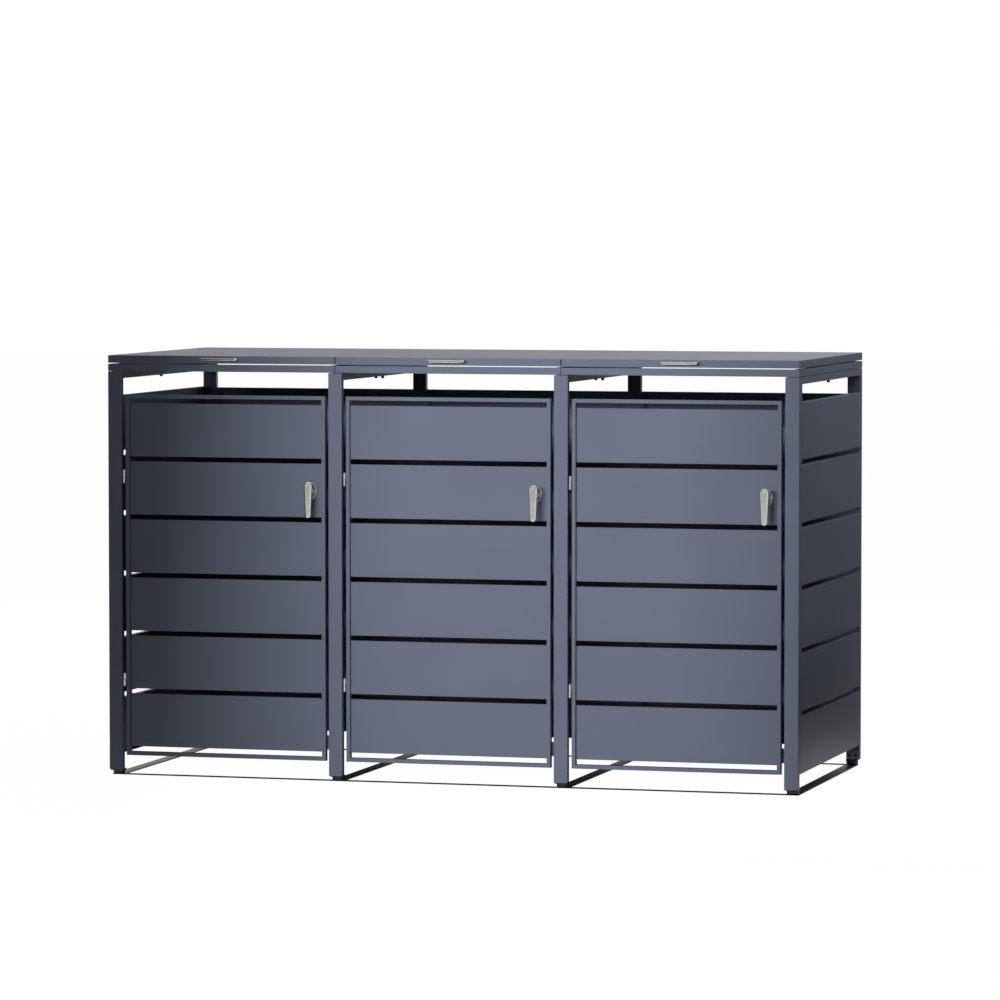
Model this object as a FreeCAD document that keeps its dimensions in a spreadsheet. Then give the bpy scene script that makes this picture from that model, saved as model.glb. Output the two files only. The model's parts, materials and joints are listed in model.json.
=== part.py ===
import FreeCAD, Part
import os
import re
import Sketcher

# Store for three wheelie bins: a tube frame with slatted sides and a closed
# back, three slatted doors on lift-off hinges and three lids that fold back.
# Millimetres. +X runs along the front to the right, +Y to the back, +Z up.
# The origin lies on the ground, midway along the store and midway between
# the front of the latch levers and the back of the posts.

V = FreeCAD.Vector
UP = V(0, 0, 1)
BAYS = (1, 2, 3)
POSTS = (1, 2, 3, 4)
SIDES = (-1, 1)
ENDS = {"front": 1, "back": -1}

DIMENSIONS = {
    # Whole store
    "bay_pitch": 660,
    "store_depth": 856,
    "store_top": 1205,
    "lever_reach": 35,
    # Posts, rails and uprights
    "post_width": 40,
    "post_depth": 20,
    "post_bottom": 17,
    "post_top": 1158.8,
    "rail_height": 20,
    "upright_side": 20,
    "tube_wall": 1.5,
    "tube_radius": 1.5,
    # Ground bars, feet and their brackets
    "bar_thick": 3,
    "long_bar_width": 12,
    "cross_bar_width": 35,
    "foot_width": 35,
    "foot_inset": 27,
    "foot_edge": 4,
    "plate_thick": 3,
    "plate_width": 34,
    "plate_front": 2,
    "plate_back": 42,
    "tab_width": 30,
    "tab_thick": 2.5,
    "tab_top": 45,
    "stud_width": 8,
    "stud_end": 19,
    "foot_screw_spread": 19,
    "foot_screw_level": 28,
    # Slatted sides and closed back
    "slat_count": 6,
    "panel_slat_height": 158.4,
    "panel_slat_gap": 16,
    "panel_depth": 18,
    "side_panel_top": 1088.7,
    "back_panel_top": 1085,
    "back_panel_lip": 9,
    "back_screw_count": 4,
    "back_screw_end": 60,
    "slat_sheet": 1.2,
    "slat_fold": 1.5,
    # Lids and the frames under them
    "frame_gap": 1.2,
    "spacer_width": 12,
    "spacer_setback": 60,
    "lid_frame_height": 20,
    "lid_frame_tube": 20,
    "lid_frame_seam": 1.2,
    "lid_gap": 5.4,
    "lid_skirt": 2.2,
    "lid_seam": 2.5,
    "lid_sheet": 1.5,
    "lid_return": 20,
    "lid_fold": 2,
    "buffer_width": 8.5,
    "buffer_inset": 10,
    "buffer_setback": 150,
    "buffer_play": 0.1,
    "handle_width": 110,
    "handle_bevel": 4,
    "handle_height": 7.4,
    "handle_drop": 9.9,
    "handle_reach": 23,
    "handle_bar": 5,
    "handle_leg": 8,
    "handle_edge": 0.8,
    # Lid hinges
    "lid_hinge_spread": 460,
    "lid_hinge_length": 64,
    "lid_knuckle_length": 20,
    "lid_knuckle_play": 0.3,
    "lid_knuckle_width": 4.6,
    "lid_axis_inset": 2.3,
    "lid_pin_width": 2.4,
    "lid_leaf_reach": 16,
    "lid_leaf_thick": 1.2,
    "lid_leaf_relief": 3.2,
    # Doors
    "door_left_gap": 11.5,
    "door_right_gap": 10,
    "door_bottom": 58.5,
    "door_top": 1093.5,
    "door_setback": 1.5,
    "stile_width": 11,
    "stile_depth": 18,
    "stile_edge": 1,
    "vent_width": 5,
    "door_slat_height": 152,
    "door_slat_setback": 7,
    # Door hinges
    "hinge_height": 38,
    "hinge_upper_level": 858.5,
    "hinge_lower_level": 275.5,
    "hinge_axis_depth": 4,
    "hinge_knuckle_width": 7,
    "hinge_pin_width": 4,
    "hinge_pin_length": 16,
    "hinge_play": 0.2,
    "hinge_leaf_thick": 2,
    "hinge_leaf_back": 13,
    "hinge_web": 2,
    # Latches, measured outwards from the pivot or from the slat that holds it
    "pivot_inset": 41.5,
    "pivot_level": 825.5,
    "rose_wide": 33,
    "rose_tall": 50,
    "rose_thick": 8,
    "rose_bevel": 2.5,
    "barrel_width": 18,
    "barrel_length": 12,
    "nut_circle": 27,
    "nut_thick": 4,
    "spindle_width": 10,
    "spindle_end": 13,
    "running_play": 0.1,
    "neck_width": 17,
    "neck_play": 0.3,
    "lever_rise": 27.5,
    "lever_fall": 75.5,
    "lever_thick": 9,
    "lever_top_radius": 12,
    "lever_tip_radius": 8.25,
    "lever_bevel": 2.5,
    "cam_thick": 3,
    "cam_reach": 64,
    "cam_hub_radius": 11,
    "cam_tip_radius": 7,
    "cam_stub_width": 8,
    # Door stops and fasteners
    "stop_width": 39,
    "stop_thick": 2,
    "stop_height": 40,
    "stop_lower_level": 110,
    "stop_upper_level": 1040,
    "stop_screw_shift": 8,
    "screw_inset": 10,
    "screw_head": 7,
    "screw_head_height": 2.2,
    "screw_shank": 3.5,
    "screw_length": 9,
    "foot_screw_head": 7.5,
    "foot_screw_head_height": 2.5,
    "foot_screw_shank": 4,
    "foot_screw_length": 10,
    "bolt_head": 10,
    "bolt_head_height": 7.5,
    "bolt_shank": 6,
    "bolt_length": 26,
    "bolt_inset": 10,
    "hole_play": 0.2,
}

# Places that follow from the driving dimensions
FRONT = "((lever_reach - store_depth) / 2)"
BACK = "((lever_reach + store_depth) / 2)"
MIDDLE = "(lever_reach / 2)"
RAIL_LENGTH = "(store_depth - 2 * post_depth)"
LID_FRAME_BOTTOM = "(post_top + frame_gap)"
LID_FRAME_TOP = "(post_top + frame_gap + lid_frame_height)"
LID_BOTTOM = "(" + LID_FRAME_TOP + " + lid_gap)"
LID_HEIGHT = "(store_top - " + LID_BOTTOM + ")"
HALF_BAY = "(bay_pitch / 2)"
OUTER_EDGE = "(bay_pitch / 2 + post_width / 2)"
STORE_HALF = "(1.5 * bay_pitch + post_width / 2)"
PANEL_PITCH = "(panel_slat_height + panel_slat_gap)"
PANEL_HEIGHT = "(slat_count * panel_slat_height + (slat_count - 1) * panel_slat_gap)"
SIDE_PANEL_BOTTOM = "(side_panel_top - " + PANEL_HEIGHT + ")"
BACK_PANEL_BOTTOM = "(back_panel_top - " + PANEL_HEIGHT + ")"
BACK_PANEL_LENGTH = "(bay_pitch - post_width)"
BACK_SCREW_PITCH = "((" + PANEL_HEIGHT + " - 2 * back_screw_end) / (back_screw_count - 1))"
SIDE_SLAT_LENGTH = "(store_depth - 2 * post_depth - upright_side)"
DOOR_WIDTH = "(bay_pitch - post_width - door_left_gap - door_right_gap)"
DOOR_HEIGHT = "(door_top - door_bottom)"
DOOR_SHIFT = "((door_left_gap - door_right_gap) / 2)"
DOOR_FRONT = "(" + FRONT + " + door_setback)"
DOOR_INNER_HEIGHT = "(" + DOOR_HEIGHT + " - 2 * stile_width)"
DOOR_SLAT_LENGTH = "(" + DOOR_WIDTH + " - 2 * stile_width)"
DOOR_SLAT_GAP = "((" + DOOR_INNER_HEIGHT + " - slat_count * door_slat_height) / (slat_count + 1))"
DOOR_SLAT_FRONT = "(" + DOOR_FRONT + " + door_slat_setback)"
HINGE_AXIS_X = "(post_width / 2 + door_left_gap / 2)"
HINGE_AXIS_Y = "(" + FRONT + " + hinge_axis_depth)"
PIVOT_X = "(" + HALF_BAY + " - post_width / 2 - door_right_gap - pivot_inset)"
LEVER_BACK = "(lever_reach + door_setback + door_slat_setback - lever_thick)"
LID_AXIS_Y = "(" + BACK + " - lid_axis_inset)"
LID_AXIS_Z = "(" + LID_FRAME_TOP + " + lid_gap / 2)"
SCREW_HOLE = "(screw_shank + hole_play)"
FOOT_SCREW_HOLE = "(foot_screw_shank + hole_play)"
BOLT_HOLE = "(bolt_shank + hole_play)"

document = FreeCAD.newDocument("wheelie_bin_store")
subparts = []


# Sheet, expressions and placing
def fill_sheet():
    sheet = document.addObject("Spreadsheet::Sheet", "Sizes")
    for row, (alias, value) in enumerate(DIMENSIONS.items(), 1):
        sheet.set("A%d" % row, alias)
        sheet.set("B%d" % row, str(value))
        sheet.setAlias("B%d" % row, alias)
    document.recompute()


def sheet_words(expression):
    """The expression with each alias written as a cell of the sheet."""

    def cell(match):
        word = match.group(0)
        return "Sizes." + word if word in DIMENSIONS else word

    return re.sub(r"[a-z_]+", cell, expression)


def bind(thing, **sizes):
    for name, expression in sizes.items():
        thing.setExpression(name, sheet_words(expression))


def place(thing, x="0", y="0", z="0", rotation=None):
    """Turn a thing about its own origin, then bind that origin's coordinates."""
    thing.Placement = FreeCAD.Placement(V(), rotation or FreeCAD.Rotation())
    for axis, expression in zip("xyz", (x, y, z)):
        if expression != "0":
            thing.setExpression("Placement.Base." + axis, sheet_words(expression))
    return thing


def about_z(angle):
    return FreeCAD.Rotation(UP, angle)


def facing(*direction):
    """The rotation that turns a piece's own +Z to a direction."""
    return FreeCAD.Rotation(UP, V(*direction))


def subpart(thing, label):
    thing.Label = label
    subparts.append(thing)
    return thing


def copies(label, placings):
    """One sub-part made of linked copies: source piece, x, y, z and rotation."""
    links = []
    for source, x, y, z, rotation in placings:
        link = document.addObject("App::Link", label + "_copy")
        link.LinkedObject = source
        link.LinkTransform = True
        links.append(place(link, x, y, z, rotation))
    group = document.addObject("Part::Compound", label)
    group.Links = links
    return subpart(group, label)


def post_x(post):
    return "(%g * bay_pitch)" % (post - 2.5)


def bay_x(bay):
    return "(%g * bay_pitch)" % (bay - 2)


# Sketches and features of a body
def sketch_on(body, role, shift="0"):
    """A sketch on one of the body's origin planes, shifted along its normal."""
    sketch = body.newObject("Sketcher::SketchObject", body.Name + "_sketch")
    plane = next(datum for datum in body.Origin.OriginFeatures if datum.Role == role)
    sketch.AttachmentSupport = [(plane, "")]
    sketch.MapMode = "FlatFace"
    if shift != "0":
        sketch.setExpression("AttachmentOffset.Base.z", sheet_words(shift))
    return sketch


def constrain(sketch, kind, *places, expression):
    """A constraint whose size is bound to an expression."""
    words = sheet_words(expression)
    value = float(sketch.evalExpression(words))
    number = sketch.addConstraint(Sketcher.Constraint(kind, *places, value))
    sketch.setExpression("Constraints[%d]" % number, words)


def polygon(sketch, corners):
    """Straight edges through corners given as pairs of expressions."""
    first = sketch.GeometryCount
    count = len(corners)
    for number in range(count):
        start = V(number, number * number, 0)
        finish = V((number + 1) % count, ((number + 1) % count) ** 2, 0)
        sketch.addGeometry(Part.LineSegment(start, finish))
    for number, (x, y) in enumerate(corners):
        edge = first + number
        last = first + (number - 1) % count
        sketch.addConstraint(Sketcher.Constraint("Coincident", last, 2, edge, 1))
        constrain(sketch, "DistanceX", -1, 1, edge, 1, expression=x)
        constrain(sketch, "DistanceY", -1, 1, edge, 1, expression=y)


def rectangle(sketch, left, right, bottom, top):
    polygon(sketch, ((left, bottom), (right, bottom), (right, top), (left, top)))


def ring(sketch, left, right, bottom, top, width, inset="0"):
    """Two rectangles around a frame's members, each set in by the same inset."""
    for step in ("(%s)" % inset, "(%s - %s)" % (width, inset)):
        rectangle(
            sketch,
            "%s + %s" % (left, step),
            "%s - %s" % (right, step),
            "%s + %s" % (bottom, step),
            "%s - %s" % (top, step),
        )


def circle(sketch, x, y, diameter):
    number = sketch.addGeometry(Part.Circle(V(1, 1, 0), UP, 1))
    constrain(sketch, "DistanceX", -1, 1, number, 3, expression=x)
    constrain(sketch, "DistanceY", -1, 1, number, 3, expression=y)
    constrain(sketch, "Diameter", number, expression=diameter)


def feature(body, kind, sketch, length, turned=False):
    made = body.newObject("PartDesign::" + kind, body.Name + "_" + kind.lower())
    made.Profile = sketch
    made.Reversed = turned
    bind(made, Length=length)
    document.recompute()
    return made


def pad(body, sketch, length, turned=False):
    return feature(body, "Pad", sketch, length, turned)


def pocket(body, sketch, length, turned=False):
    """A pocket that has to remove something, or the direction is wrong."""
    before = body.Shape.Volume
    made = feature(body, "Pocket", sketch, length, turned)
    if made.Shape.Volume > before - 1:
        raise RuntimeError("the pocket in %s cuts nothing" % body.Name)
    return made


def repeat(body, single, sketch, pitch, count):
    """A row along the sketch's vertical axis, of a single feature or of the whole body."""
    row = body.newObject("PartDesign::LinearPattern", body.Name + "_row")
    if single is None:
        row.TransformMode = "Whole shape"
    else:
        row.Originals = [single]
    row.Direction = (sketch, ["V_Axis"])
    row.Mode = "Spacing"
    bind(row, Offset=pitch, Occurrences=count)
    body.Tip = row
    document.recompute()


def edges_on(shape, *sides):
    """Names of the edges that lie wholly on all the given sides of a shape's box."""
    box = shape.BoundBox
    limits = {"-x": box.XMin, "+x": box.XMax, "-y": box.YMin, "+y": box.YMax}
    limits.update({"-z": box.ZMin, "+z": box.ZMax})
    names = []
    for number, edge in enumerate(shape.Edges, 1):
        own = edge.BoundBox
        reach = {"-x": own.XMax, "+x": own.XMin, "-y": own.YMax, "+y": own.YMin}
        reach.update({"-z": own.ZMax, "+z": own.ZMin})
        if all(abs(reach[side] - limits[side]) < 1e-4 for side in sides):
            names.append("Edge%d" % number)
    return names


def corner_edges(shape, first, second):
    """Names of the four outer edges where the sides of two axes meet."""
    names = []
    for a in "-+":
        for b in "-+":
            names += edges_on(shape, a + first, b + second)
    return names


def dress(body, kind, base, names, size):
    made = body.newObject("PartDesign::" + kind, body.Name + "_" + kind.lower())
    made.Base = (base, sorted(set(names)))
    bind(made, **{"Radius" if kind == "Fillet" else "Size": size})
    document.recompute()
    return made


def new_body(name):
    return document.addObject("PartDesign::Body", name)


# Primitives
def box(name, x, y, z):
    """A box between two expressions on each axis."""
    made = document.addObject("Part::Box", name)
    for size, (low, high) in zip(("Length", "Width", "Height"), (x, y, z)):
        bind(made, **{size: "%s - (%s)" % (high, low)})
    return place(made, x[0], y[0], z[0])


def rod(name, diameter, length, x="0", y="0", z="0", rotation=None):
    made = document.addObject("Part::Cylinder", name)
    bind(made, Radius="%s / 2" % diameter, Height=length)
    return place(made, x, y, z, rotation)


def fused(name, *pieces):
    made = document.addObject("Part::MultiFuse", name)
    made.Shapes = list(pieces)
    made.Refine = True
    return made


def cut(name, base, tool):
    made = document.addObject("Part::Cut", name)
    made.Base = base
    made.Tool = tool
    return made


# Fasteners
def screw(name, head, head_height, shank, length):
    """A round-headed screw along Z, with the head's underside at the origin."""
    head_piece = rod(name + "_head", head, head_height)
    shank_piece = rod(name + "_shank", shank, length, z="-(%s)" % length)
    return fused(name, head_piece, shank_piece)


# Tubes of the frame
def tube(name, role, left, right, bottom, top, length, turned=False):
    """A rectangular tube along a plane's normal, with rounded outer corners."""
    body = new_body(name)
    section = sketch_on(body, role)
    ring(section, left, right, bottom, top, "tube_wall")
    blank = pad(body, section, length, turned)
    across = {"XY_Plane": "xy", "XZ_Plane": "xz"}[role]
    dress(body, "Fillet", blank, corner_edges(blank.Shape, *across), "tube_radius")
    return body


def drill(body, role, spots, diameter, depth, shift="0", turned=False):
    """Round holes of one size from a plane into the body."""
    sketch = sketch_on(body, role, shift)
    for x, y in spots:
        circle(sketch, x, y, diameter)
    return sketch, pocket(body, sketch, depth, turned)


def post(end, number):
    """A post with its outer face at y = 0 and its foot end at z = 0."""
    body = tube(
        "post_%s_%d" % (end, number),
        "XY_Plane",
        "-post_width / 2",
        "post_width / 2",
        "0",
        "post_depth",
        "post_top - post_bottom",
    )
    inner_face = "-post_depth / 2"
    level = "foot_screw_level - post_bottom"
    spots = [("%d * foot_screw_spread / 2" % side, level) for side in SIDES]
    drill(body, "XZ_Plane", spots, FOOT_SCREW_HOLE, "post_depth", inner_face)
    if end == "front" and number > POSTS[0]:
        levels = ("stop_lower_level", "stop_upper_level")
        spots = [("-stop_screw_shift", "%s - post_bottom" % stop) for stop in levels]
        drill(body, "XZ_Plane", spots, SCREW_HOLE, "post_depth", inner_face)
    if end == "back":
        drill_back_post(body, number, inner_face)
    outward = ENDS[end]
    place(body, post_x(number), FRONT if outward > 0 else BACK, "post_bottom", about_z(90 - 90 * outward))
    return subpart(body, body.Name)


def drill_back_post(body, number, inner_face):
    """Rows of holes for the back panels' flanges and, at the corners, the side slats."""
    neighbours = {"left bay": number > POSTS[0], "right bay": number < POSTS[-1]}
    for bay, found in neighbours.items():
        if found:
            spot = ("screw_inset", BACK_PANEL_BOTTOM + " + back_screw_end - post_bottom")
            turned = bay == "left bay"
            sketch, row = drill(body, "YZ_Plane", [spot], SCREW_HOLE, "post_width", turned=turned)
            repeat(body, row, sketch, BACK_SCREW_PITCH, "back_screw_count")
    if not all(neighbours.values()):
        outer = 1 if neighbours["right bay"] else -1
        level = SIDE_PANEL_BOTTOM + " + panel_slat_height / 2 - post_bottom"
        spot = ("%d * (post_width / 2 - screw_inset)" % outer, level)
        sketch, row = drill(body, "XZ_Plane", [spot], SCREW_HOLE, "post_depth", inner_face)
        repeat(body, row, sketch, PANEL_PITCH, "slat_count")


def rail(name, bolt_sides):
    """A tube along Y, centred on its length, that carries the edge of the lid frames."""
    body = tube(
        name,
        "XZ_Plane",
        "-post_width / 2",
        "post_width / 2",
        "0",
        "rail_height",
        RAIL_LENGTH,
        turned=True,
    )
    spots = [("%d * (post_width / 2 - bolt_inset)" % side, RAIL_LENGTH + " / 2") for side in bolt_sides]
    drill(body, "XY_Plane", spots, BOLT_HOLE, "rail_height + tube_wall", turned=True)
    return body


def side_rails():
    middle = rail("middle_rail", SIDES)
    left = rail("left_rail", SIDES[:1])
    right = rail("right_rail", SIDES[1:])
    bottom = "post_top - rail_height"
    start = FRONT + " + post_depth"
    rails = zip((left, middle, middle, right), POSTS)
    copies("side_rails", [(piece, post_x(number), start, bottom, None) for piece, number in rails])


def side_uprights():
    """Tubes behind the front corner posts that take the front ends of the side slats."""
    half = "upright_side / 2"
    height = "post_top - rail_height - " + SIDE_PANEL_BOTTOM
    upright = tube("upright", "XY_Plane", "-" + half, half, "0", "upright_side", height)
    spot = ("upright_side / 2 - screw_inset", "panel_slat_height / 2")
    sketch, row = drill(upright, "XZ_Plane", [spot], SCREW_HOLE, "upright_side", "-" + half)
    repeat(upright, row, sketch, PANEL_PITCH, "slat_count")
    placings = []
    for side in SIDES:
        x = "%d * (%s - upright_side / 2)" % (side, STORE_HALF)
        placings.append((upright, x, FRONT + " + post_depth", SIDE_PANEL_BOTTOM, None))
    copies("side_uprights", placings)


# Ground bars and feet
def ground_bars():
    """Flat bars on the ground that tie the feet together."""
    reach = "(1.5 * bay_pitch + foot_width / 2)"
    half = "(long_bar_width / 2)"
    long_bar = box("long_bar", ("-" + reach, reach), ("-" + half, half), ("0", "bar_thick"))
    placings = []
    for end, outward in ENDS.items():
        line = FRONT if outward > 0 else BACK
        placings.append((long_bar, "0", "%s + %d * foot_inset" % (line, outward), "0", None))
    copies("ground_bars_long", placings)
    cross_half = "(store_depth / 2 - foot_inset - long_bar_width / 2)"
    cross_width = ("-cross_bar_width / 2", "cross_bar_width / 2")
    cross_bar = box("cross_bar", cross_width, ("-" + cross_half, cross_half), ("0", "bar_thick"))
    placings = [(cross_bar, post_x(number), MIDDLE, "0", None) for number in POSTS]
    copies("ground_bars_cross", placings)


def at_each_post(source, inset, level):
    """Placings of a piece at all the posts, facing inwards from each outer face."""
    placings = []
    for number in POSTS:
        placings.append((source, post_x(number), "%s + %s" % (FRONT, inset), level, None))
        placings.append((source, post_x(number), "%s - %s" % (BACK, inset), level, about_z(180)))
    return placings


def feet():
    """Round pads with a rounded lower edge and a stud up through the bracket."""
    foot = new_body("foot")
    plan = sketch_on(foot, "XY_Plane")
    circle(plan, "0", "0", "foot_width")
    height = "post_bottom - plate_thick - bar_thick"
    blank = pad(foot, plan, height)
    dress(foot, "Fillet", blank, edges_on(blank.Shape, "-z"), "foot_edge")
    stud = sketch_on(foot, "XY_Plane")
    circle(stud, "0", "0", "stud_width")
    pad(foot, stud, "stud_end - bar_thick")
    copies("feet", at_each_post(foot, "foot_inset", "bar_thick"))


def foot_brackets():
    """Bent plates: one leg under the post over the foot, one leg up inside the tube."""
    bracket = new_body("bracket")
    plan = sketch_on(bracket, "XY_Plane")
    rectangle(plan, "-plate_width / 2", "plate_width / 2", "plate_front", "plate_back")
    pad(bracket, plan, "plate_thick")
    tab = sketch_on(bracket, "XY_Plane")
    tab_back = "post_depth - tube_wall"
    rectangle(tab, "-tab_width / 2", "tab_width / 2", tab_back + " - tab_thick", tab_back)
    bottom = "(post_bottom - plate_thick)"
    pad(bracket, tab, "tab_top - " + bottom)
    drill(bracket, "XY_Plane", [("0", "foot_inset")], "stud_width + hole_play", "plate_thick", turned=True)
    level = "foot_screw_level - " + bottom
    spots = [("%d * foot_screw_spread / 2" % side, level) for side in SIDES]
    drill(bracket, "XZ_Plane", spots, FOOT_SCREW_HOLE, "post_depth")
    copies("foot_brackets", at_each_post(bracket, "0", bottom))


def foot_screws():
    sizes = ("foot_screw_head", "foot_screw_head_height", "foot_screw_shank", "foot_screw_length")
    piece = screw("foot_screw", *sizes)
    placings = []
    for number in POSTS:
        for side in SIDES:
            x = "%s + %d * foot_screw_spread / 2" % (post_x(number), side)
            front = FRONT + " + post_depth"
            back = BACK + " - post_depth"
            placings.append((piece, x, front, "foot_screw_level", facing(0, 1, 0)))
            placings.append((piece, x, back, "foot_screw_level", facing(0, -1, 0)))
    copies("foot_screws", placings)


# Slats and panels
def tray(name, length, height, depth, lip="0"):
    """A folded tray with its face at y = 0, open to +Y, with lips on the end flanges."""
    body = new_body(name)
    face = sketch_on(body, "XZ_Plane")
    rectangle(face, "-%s / 2" % length, "%s / 2" % length, "0", height)
    blank = pad(body, face, depth, turned=True)
    dress(body, "Fillet", blank, edges_on(blank.Shape, "-y"), "slat_fold")
    inside = "(%s / 2 - slat_sheet)" % length
    hollow = sketch_on(body, "XZ_Plane", "-slat_sheet")
    rectangle(hollow, "-" + inside, inside, "slat_sheet", height + " - slat_sheet")
    pocket(body, hollow, "%s - %s" % (depth, "2 * slat_sheet" if lip != "0" else "slat_sheet"))
    if lip != "0":
        mouth_side = "(%s - %s)" % (inside, lip)
        mouth = sketch_on(body, "XZ_Plane", "slat_sheet - " + depth)
        rectangle(mouth, "-" + mouth_side, mouth_side, "slat_sheet", height + " - slat_sheet")
        pocket(body, mouth, "slat_sheet")
    return body, face


def side_panels():
    """Rows of slats with a screw hole in the middle of each end flange."""
    middle_y = "%s - post_depth - %s / 2" % (BACK, SIDE_SLAT_LENGTH)
    spot = ("screw_inset", "panel_slat_height / 2")
    for label, side in zip(("left", "right"), SIDES):
        name = "side_slats_" + label
        body, face = tray(name, SIDE_SLAT_LENGTH, "panel_slat_height", "panel_depth")
        for turned in (False, True):
            drill(body, "YZ_Plane", [spot], SCREW_HOLE, SIDE_SLAT_LENGTH, turned=turned)
        repeat(body, None, face, PANEL_PITCH, "slat_count")
        x = "%d * %s" % (side, STORE_HALF)
        place(body, x, middle_y, SIDE_PANEL_BOTTOM, about_z(90 * side))
        subpart(body, body.Name)


def back_panels():
    """One closed tray per bay, with a row of screw holes down each end flange."""
    spot = ("screw_inset", "back_screw_end")
    for bay in BAYS:
        name = "back_panel_%d" % bay
        body, _ = tray(name, BACK_PANEL_LENGTH, PANEL_HEIGHT, "panel_depth", "back_panel_lip")
        for turned in (False, True):
            sketch, row = drill(body, "YZ_Plane", [spot], SCREW_HOLE, BACK_PANEL_LENGTH, turned=turned)
            repeat(body, row, sketch, BACK_SCREW_PITCH, "back_screw_count")
        place(body, bay_x(bay), BACK, BACK_PANEL_BOTTOM, about_z(180))
        subpart(body, body.Name)


def panel_screws():
    """Screws from inside the trays into the posts and uprights, and those of the stops."""
    piece = screw("screw", "screw_head", "screw_head_height", "screw_shank", "screw_length")
    placings = []
    front_y = FRONT + " + post_depth + upright_side + slat_sheet"
    back_y = BACK + " - post_depth - slat_sheet"
    for row in range(DIMENSIONS["slat_count"]):
        level = "%s + %d * %s + panel_slat_height / 2" % (SIDE_PANEL_BOTTOM, row, PANEL_PITCH)
        for side in SIDES:
            x = "%d * (%s - screw_inset)" % (side, STORE_HALF)
            placings.append((piece, x, front_y, level, facing(0, 1, 0)))
            placings.append((piece, x, back_y, level, facing(0, -1, 0)))
    for row in range(DIMENSIONS["back_screw_count"]):
        level = "%s + back_screw_end + %d * %s" % (BACK_PANEL_BOTTOM, row, BACK_SCREW_PITCH)
        for bay in BAYS:
            for side in SIDES:
                x = "%s + %d * (%s / 2 - slat_sheet)" % (bay_x(bay), side, BACK_PANEL_LENGTH)
                placings.append((piece, x, BACK + " - screw_inset", level, facing(-side, 0, 0)))
    for number in POSTS[1:]:
        for level in ("stop_lower_level", "stop_upper_level"):
            x = post_x(number) + " - stop_screw_shift"
            y = FRONT + " + post_depth + stop_thick"
            placings.append((piece, x, y, level, facing(0, 1, 0)))
    copies("panel_screws", placings)


# Lids and their frames
def module_edges(bay, seam):
    """Left and right edge of a lid or lid frame, from the middle of its bay."""
    left = "-" + OUTER_EDGE if bay == BAYS[0] else "%s / 2 - %s" % (seam, HALF_BAY)
    right = OUTER_EDGE if bay == BAYS[-1] else "%s - %s / 2" % (HALF_BAY, seam)
    return "(%s)" % left, "(%s)" % right


def lid_frame(bay):
    """A welded tube frame, open inside through the holes of its bolts."""
    body = new_body("lid_frame_%d" % bay)
    left, right = module_edges(bay, "lid_frame_seam")
    plan = sketch_on(body, "XY_Plane")
    ring(plan, left, right, "0", "store_depth", "lid_frame_tube")
    blank = pad(body, plan, "lid_frame_height")
    corners = corner_edges(blank.Shape, "x", "y")
    rims = corner_edges(blank.Shape, "x", "z") + corner_edges(blank.Shape, "y", "z")
    dress(body, "Fillet", blank, corners + rims, "tube_radius")
    hollow = sketch_on(body, "XY_Plane", "tube_wall")
    ring(hollow, left, right, "0", "store_depth", "lid_frame_tube", "tube_wall")
    pocket(body, hollow, "lid_frame_height - 2 * tube_wall", turned=True)
    edge = "(%s - bolt_inset)" % HALF_BAY
    sides = {
        "-%s" % edge if bay > BAYS[0] else "bolt_inset - " + OUTER_EDGE,
        edge if bay < BAYS[-1] else OUTER_EDGE + " - bolt_inset",
    }
    spots = [(x, "store_depth / 2") for x in sorted(sides)]
    drill(body, "XY_Plane", spots, BOLT_HOLE, "tube_wall", turned=True)
    place(body, bay_x(bay), FRONT, LID_FRAME_BOTTOM)
    return subpart(body, body.Name)


def bolt_lines():
    """The x of each line along which a lid frame's tube lies on a side rail."""
    lines = []
    for number in POSTS:
        for side in SIDES:
            inside_end = (number == POSTS[0] and side > 0) or (number == POSTS[-1] and side < 0)
            if not inside_end:
                lines.append("%s + %d * (post_width / 2 - bolt_inset)" % (post_x(number), side))
    return lines


def frame_bolts():
    """Bolts from under the side rails up into the lid frames."""
    piece = screw("bolt", "bolt_head", "bolt_head_height", "bolt_shank", "bolt_length")
    bottom = "post_top - rail_height"
    copies("frame_bolts", [(piece, x, MIDDLE, bottom, facing(0, 0, -1)) for x in bolt_lines()])


def frame_spacers():
    """Thin discs between the side rails and the lid frames, bored where a bolt passes."""
    disc = rod("spacer_disc", "spacer_width", "frame_gap")
    washer = cut("spacer_washer", disc, rod("spacer_bore", BOLT_HOLE, "frame_gap"))
    rows = (
        (disc, FRONT + " + spacer_setback"),
        (washer, MIDDLE),
        (disc, BACK + " - spacer_setback"),
    )
    copies("frame_spacers", [(piece, x, y, "post_top", None) for x in bolt_lines() for piece, y in rows])


def lid_buffers():
    buffer = rod("buffer", "buffer_width", "lid_gap - buffer_play")
    placings = []
    for bay in BAYS:
        left, right = module_edges(bay, "lid_seam")
        for x in (left + " + buffer_inset", right + " - buffer_inset"):
            for y in (FRONT + " + buffer_setback", BACK + " - buffer_setback"):
                placings.append((buffer, "%s + %s" % (bay_x(bay), x), y, LID_FRAME_TOP, None))
    copies("lid_buffers", placings)


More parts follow.
